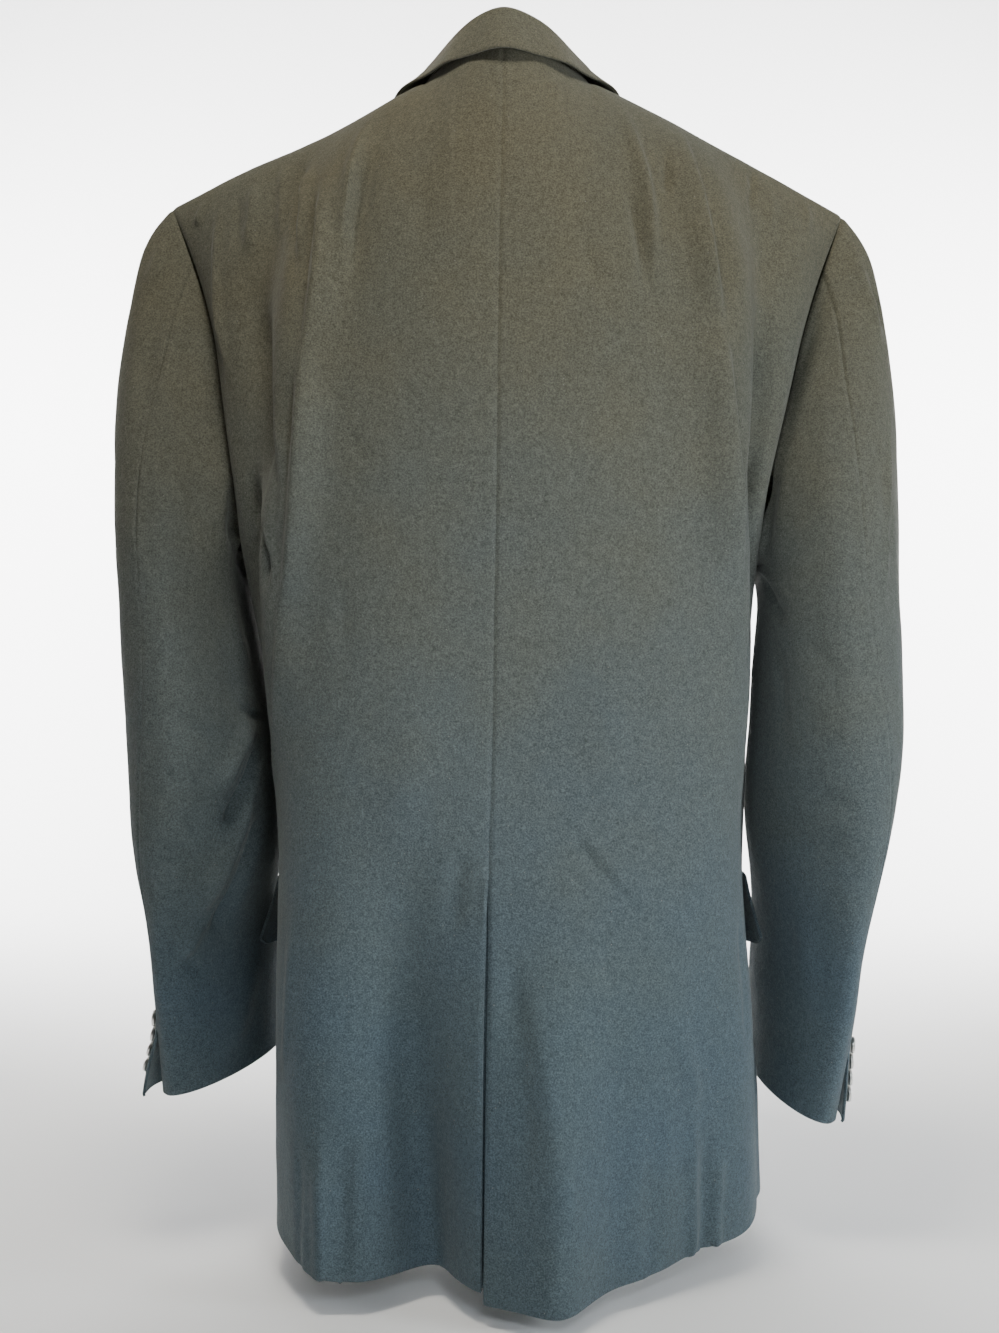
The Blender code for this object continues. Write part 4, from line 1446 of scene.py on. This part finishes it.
@dataclass
class Buttonholes:
    """The worked holes beside the front buttons: a bead of thread round a slit in the left front.

    Attributes:
        thread: the thread's finish.
        length: how long a hole is.
        width: how wide its slit is.
        bead: the bead's radius.
        aside: how far its middle lies from the button's.
        sink: how far the bead's middle lies above the cloth.
        reach: how far out the cloth below is looked for.
    """

    thread: bpy.types.Material
    length: float = 0.024
    width: float = 0.0030
    bead: float = 0.0008
    aside: float = 0.0105
    sink: float = 0.0003
    reach: float = 0.02

    def build(self) -> list[bpy.types.Object]:
        """Makes the hole beside each front button.

        Returns:
            The finished objects.
        """
        names = [node for node in sorted(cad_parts) if node.startswith("front_button")]
        return [self._hole(Seat.of(node)) for node in names]

    def _hole(self, seat: Seat) -> bpy.types.Object:
        """Works one hole.

        Args:
            seat: its button's seat.

        Returns:
            The finished object.
        """
        bpy.ops.object.select_all(action="DESELECT")
        bpy.ops.mesh.primitive_torus_add(
            major_radius=self.width / 2, minor_radius=self.bead, major_segments=28, minor_segments=8
        )
        piece = bpy.context.object
        piece.name = seat.node.replace("button", "buttonhole") + "_thread"
        self._stretch(piece)
        cloth = bpy.data.objects["front_left_cloth"]
        across = Vector((1.0, 0.0, 0.0))
        across = (across - seat.out * across.dot(seat.out)).normalized()
        up = seat.out.cross(across)
        turn = Matrix((across, up, seat.out)).transposed().to_4x4()
        middle = seat.centre + across * self.aside
        _, spot, normal, _ = cloth.ray_cast(middle + seat.out * self.reach, -seat.out)
        piece.data.transform(Matrix.Translation(spot + normal * self.sink) @ turn)
        piece.data.materials.append(self.thread)
        smooth(piece)
        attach(piece, BODY)
        LOG.info("%s at %s", piece.name, tuple(round(c, 3) for c in spot))
        return piece

    def _stretch(self, piece: bpy.types.Object) -> None:
        """Draws the bead's two ends apart to the hole's length.

        Args:
            piece: the round bead.
        """
        stretch = (self.length - self.width) / 2
        bpy.ops.object.mode_set(mode="EDIT")
        bpy.ops.mesh.select_mode(type="VERT")
        for way in (1.0, -1.0):
            bpy.ops.mesh.select_all(action="DESELECT")
            bpy.ops.object.mode_set(mode="OBJECT")
            for vert in piece.data.vertices:
                vert.select = math.copysign(1.0, vert.co.x) == way
            bpy.ops.object.mode_set(mode="EDIT")
            bpy.ops.transform.translate(value=(way * stretch, 0.0, 0.0))
        bpy.ops.object.mode_set(mode="OBJECT")


@dataclass(frozen=True)
class Lamp:
    """One soft light.

    Attributes:
        name: its name.
        at: where it hangs.
        to: what it points at.
        size: how wide it is.
        power: how strong it is.
        colour: its colour.
        spread: how wide its beam is, in degrees.
    """

    name: str
    at: tuple[float, float, float]
    to: tuple[float, float, float]
    size: float
    power: float
    colour: tuple[float, float, float]
    spread: float = 180.0

    def build(self) -> None:
        """Hangs the light."""
        light = bpy.data.lights.new(self.name, "AREA")
        light.size = self.size
        light.energy = self.power
        light.color = self.colour
        light.spread = math.radians(self.spread)
        lamp = bpy.data.objects.new(self.name, light)
        lamp.location = self.at
        lamp.rotation_euler = (Vector(self.to) - Vector(self.at)).to_track_quat("-Z", "Y").to_euler()
        lamp.visible_camera = False
        bpy.context.scene.collection.objects.link(lamp)


LAMPS = (
    Lamp("warm_key", (0.15, 0.50, 1.10), (0.02, 0.02, -0.10), 0.40, 16.5, (1.0, 0.95, 0.84)),
    Lamp("warm_near", (0.00, 0.60, -0.08), (0.0, 0.05, -0.12), 0.14, 0.22, (1.0, 0.97, 0.90)),
    Lamp("cool_near", (-0.06, 0.60, -0.46), (-0.02, 0.05, -0.44), 0.14, 1.25, (0.88, 0.95, 1.0)),
    Lamp("cool_right", (-1.10, 0.55, -0.35), (-0.15, 0.05, -0.40), 0.30, 8.0, (0.90, 0.96, 1.0)),
    Lamp("front_fill", (0.60, -1.60, 0.70), (0.0, 0.0, -0.35), 1.2, 7.0, (1.0, 0.99, 0.97)),
    Lamp("backdrop_left", (2.20, -1.00, 0.20), (-0.2, -2.60, 0.10), 0.8, 150.0, (1.0, 1.0, 1.0), 110.0),
    Lamp("backdrop_right", (-2.20, -1.00, 0.20), (0.2, -2.60, 0.10), 0.8, 150.0, (1.0, 1.0, 1.0), 110.0),
)


@dataclass
class Studio:
    """A plain pale sweep, soft light and the camera.

    Attributes:
        floor_z: the height of the floor.
        floor_size: how wide and how deep the floor is.
        wall: how high it curves up at its far end.
        curve: the radius of that curve.
        ambient: how strong the light from all round is.
        sky: its colour.
        floor_far_y: where the floor ends, far from the camera.
        pale: the floor's colour.
    """

    floor_z: float = -0.826
    floor_size: tuple[float, float] = (9.0, 6.0)
    floor_far_y: float = -2.6
    wall: float = 4.0
    curve: float = 1.0
    ambient: float = 0.03
    sky: tuple[float, float, float] = (0.96, 0.97, 1.0)
    pale: tuple[float, float, float] = (0.92, 0.92, 0.92)

    def build(self) -> None:
        """Sets the whole stage."""
        self._sweep()
        self._camera()
        for lamp in LAMPS:
            lamp.build()
        world = bpy.data.worlds.new("studio")
        world.use_nodes = True
        world.node_tree.nodes["Background"].inputs["Color"].default_value = (*self.sky, 1.0)
        world.node_tree.nodes["Background"].inputs["Strength"].default_value = self.ambient
        bpy.context.scene.world = world

    def _sweep(self) -> None:
        """Makes the floor, curved up into a back wall."""
        bpy.ops.object.select_all(action="DESELECT")
        bpy.ops.mesh.primitive_plane_add(size=1.0)
        floor = bpy.context.object
        floor.name = "pale_sweep"
        width, depth = self.floor_size
        floor.data.transform(Matrix.Diagonal((width, depth, 1.0, 1.0)))
        floor.data.transform(Matrix.Translation((0.0, self.floor_far_y + depth / 2, self.floor_z)))
        far = [edge.index for edge in floor.data.edges if self._is_far(floor, edge)]
        bpy.ops.object.mode_set(mode="EDIT")
        bpy.ops.mesh.select_mode(type="EDGE")
        bpy.ops.mesh.select_all(action="DESELECT")
        bpy.ops.object.mode_set(mode="OBJECT")
        for index in far:
            floor.data.edges[index].select = True
        bpy.ops.object.mode_set(mode="EDIT")
        bpy.ops.mesh.extrude_region_move(TRANSFORM_OT_translate={"value": (0.0, 0.0, self.wall)})
        bpy.ops.object.mode_set(mode="OBJECT")
        bend = floor.modifiers.new("curve", "BEVEL")
        bend.width = self.curve
        bend.segments = 16
        bend.limit_method = "ANGLE"
        bpy.ops.object.modifier_apply(modifier=bend.name)
        smooth(floor)
        material = bpy.data.materials.new("pale_sweep")
        material.use_nodes = True
        shader = material.node_tree.nodes["Principled BSDF"]
        shader.inputs["Base Color"].default_value = (*self.pale, 1.0)
        shader.inputs["Roughness"].default_value = 0.9
        floor.data.materials.append(material)

    def _is_far(self, floor: bpy.types.Object, edge: bpy.types.MeshEdge) -> bool:
        """Says whether an edge lies at the floor's far end."""
        return all(floor.data.vertices[i].co.y < self.floor_far_y + 0.01 for i in edge.vertices)

    def _camera(self) -> None:
        """Places the camera behind the jacket, at half its height."""
        data = bpy.data.cameras.new("camera")
        data.sensor_fit = "VERTICAL"
        data.sensor_height = SENSOR
        data.lens = LENS
        camera = bpy.data.objects.new("camera", data)
        camera.location = EYE
        camera.rotation_euler = (math.pi / 2, 0.0, math.pi)
        bpy.context.scene.collection.objects.link(camera)
        bpy.context.scene.camera = camera


def main() -> None:
    """Builds the pieces in order and reports each one."""
    logging.basicConfig(level=logging.INFO, format="%(message)s")
    wool = WoolFlannel().build()
    metal = PolishedMetal().build()
    thread = SewingThread().build()
    sight = Sight()
    for group in (BodyPanels, Sleeves, CollarAndLapels, PocketFlaps):
        group(wool, sight).build()
    Buttons(metal).build()
    Buttonholes(thread).build()
    Studio().build()


if __name__ == "__main__":
    main()
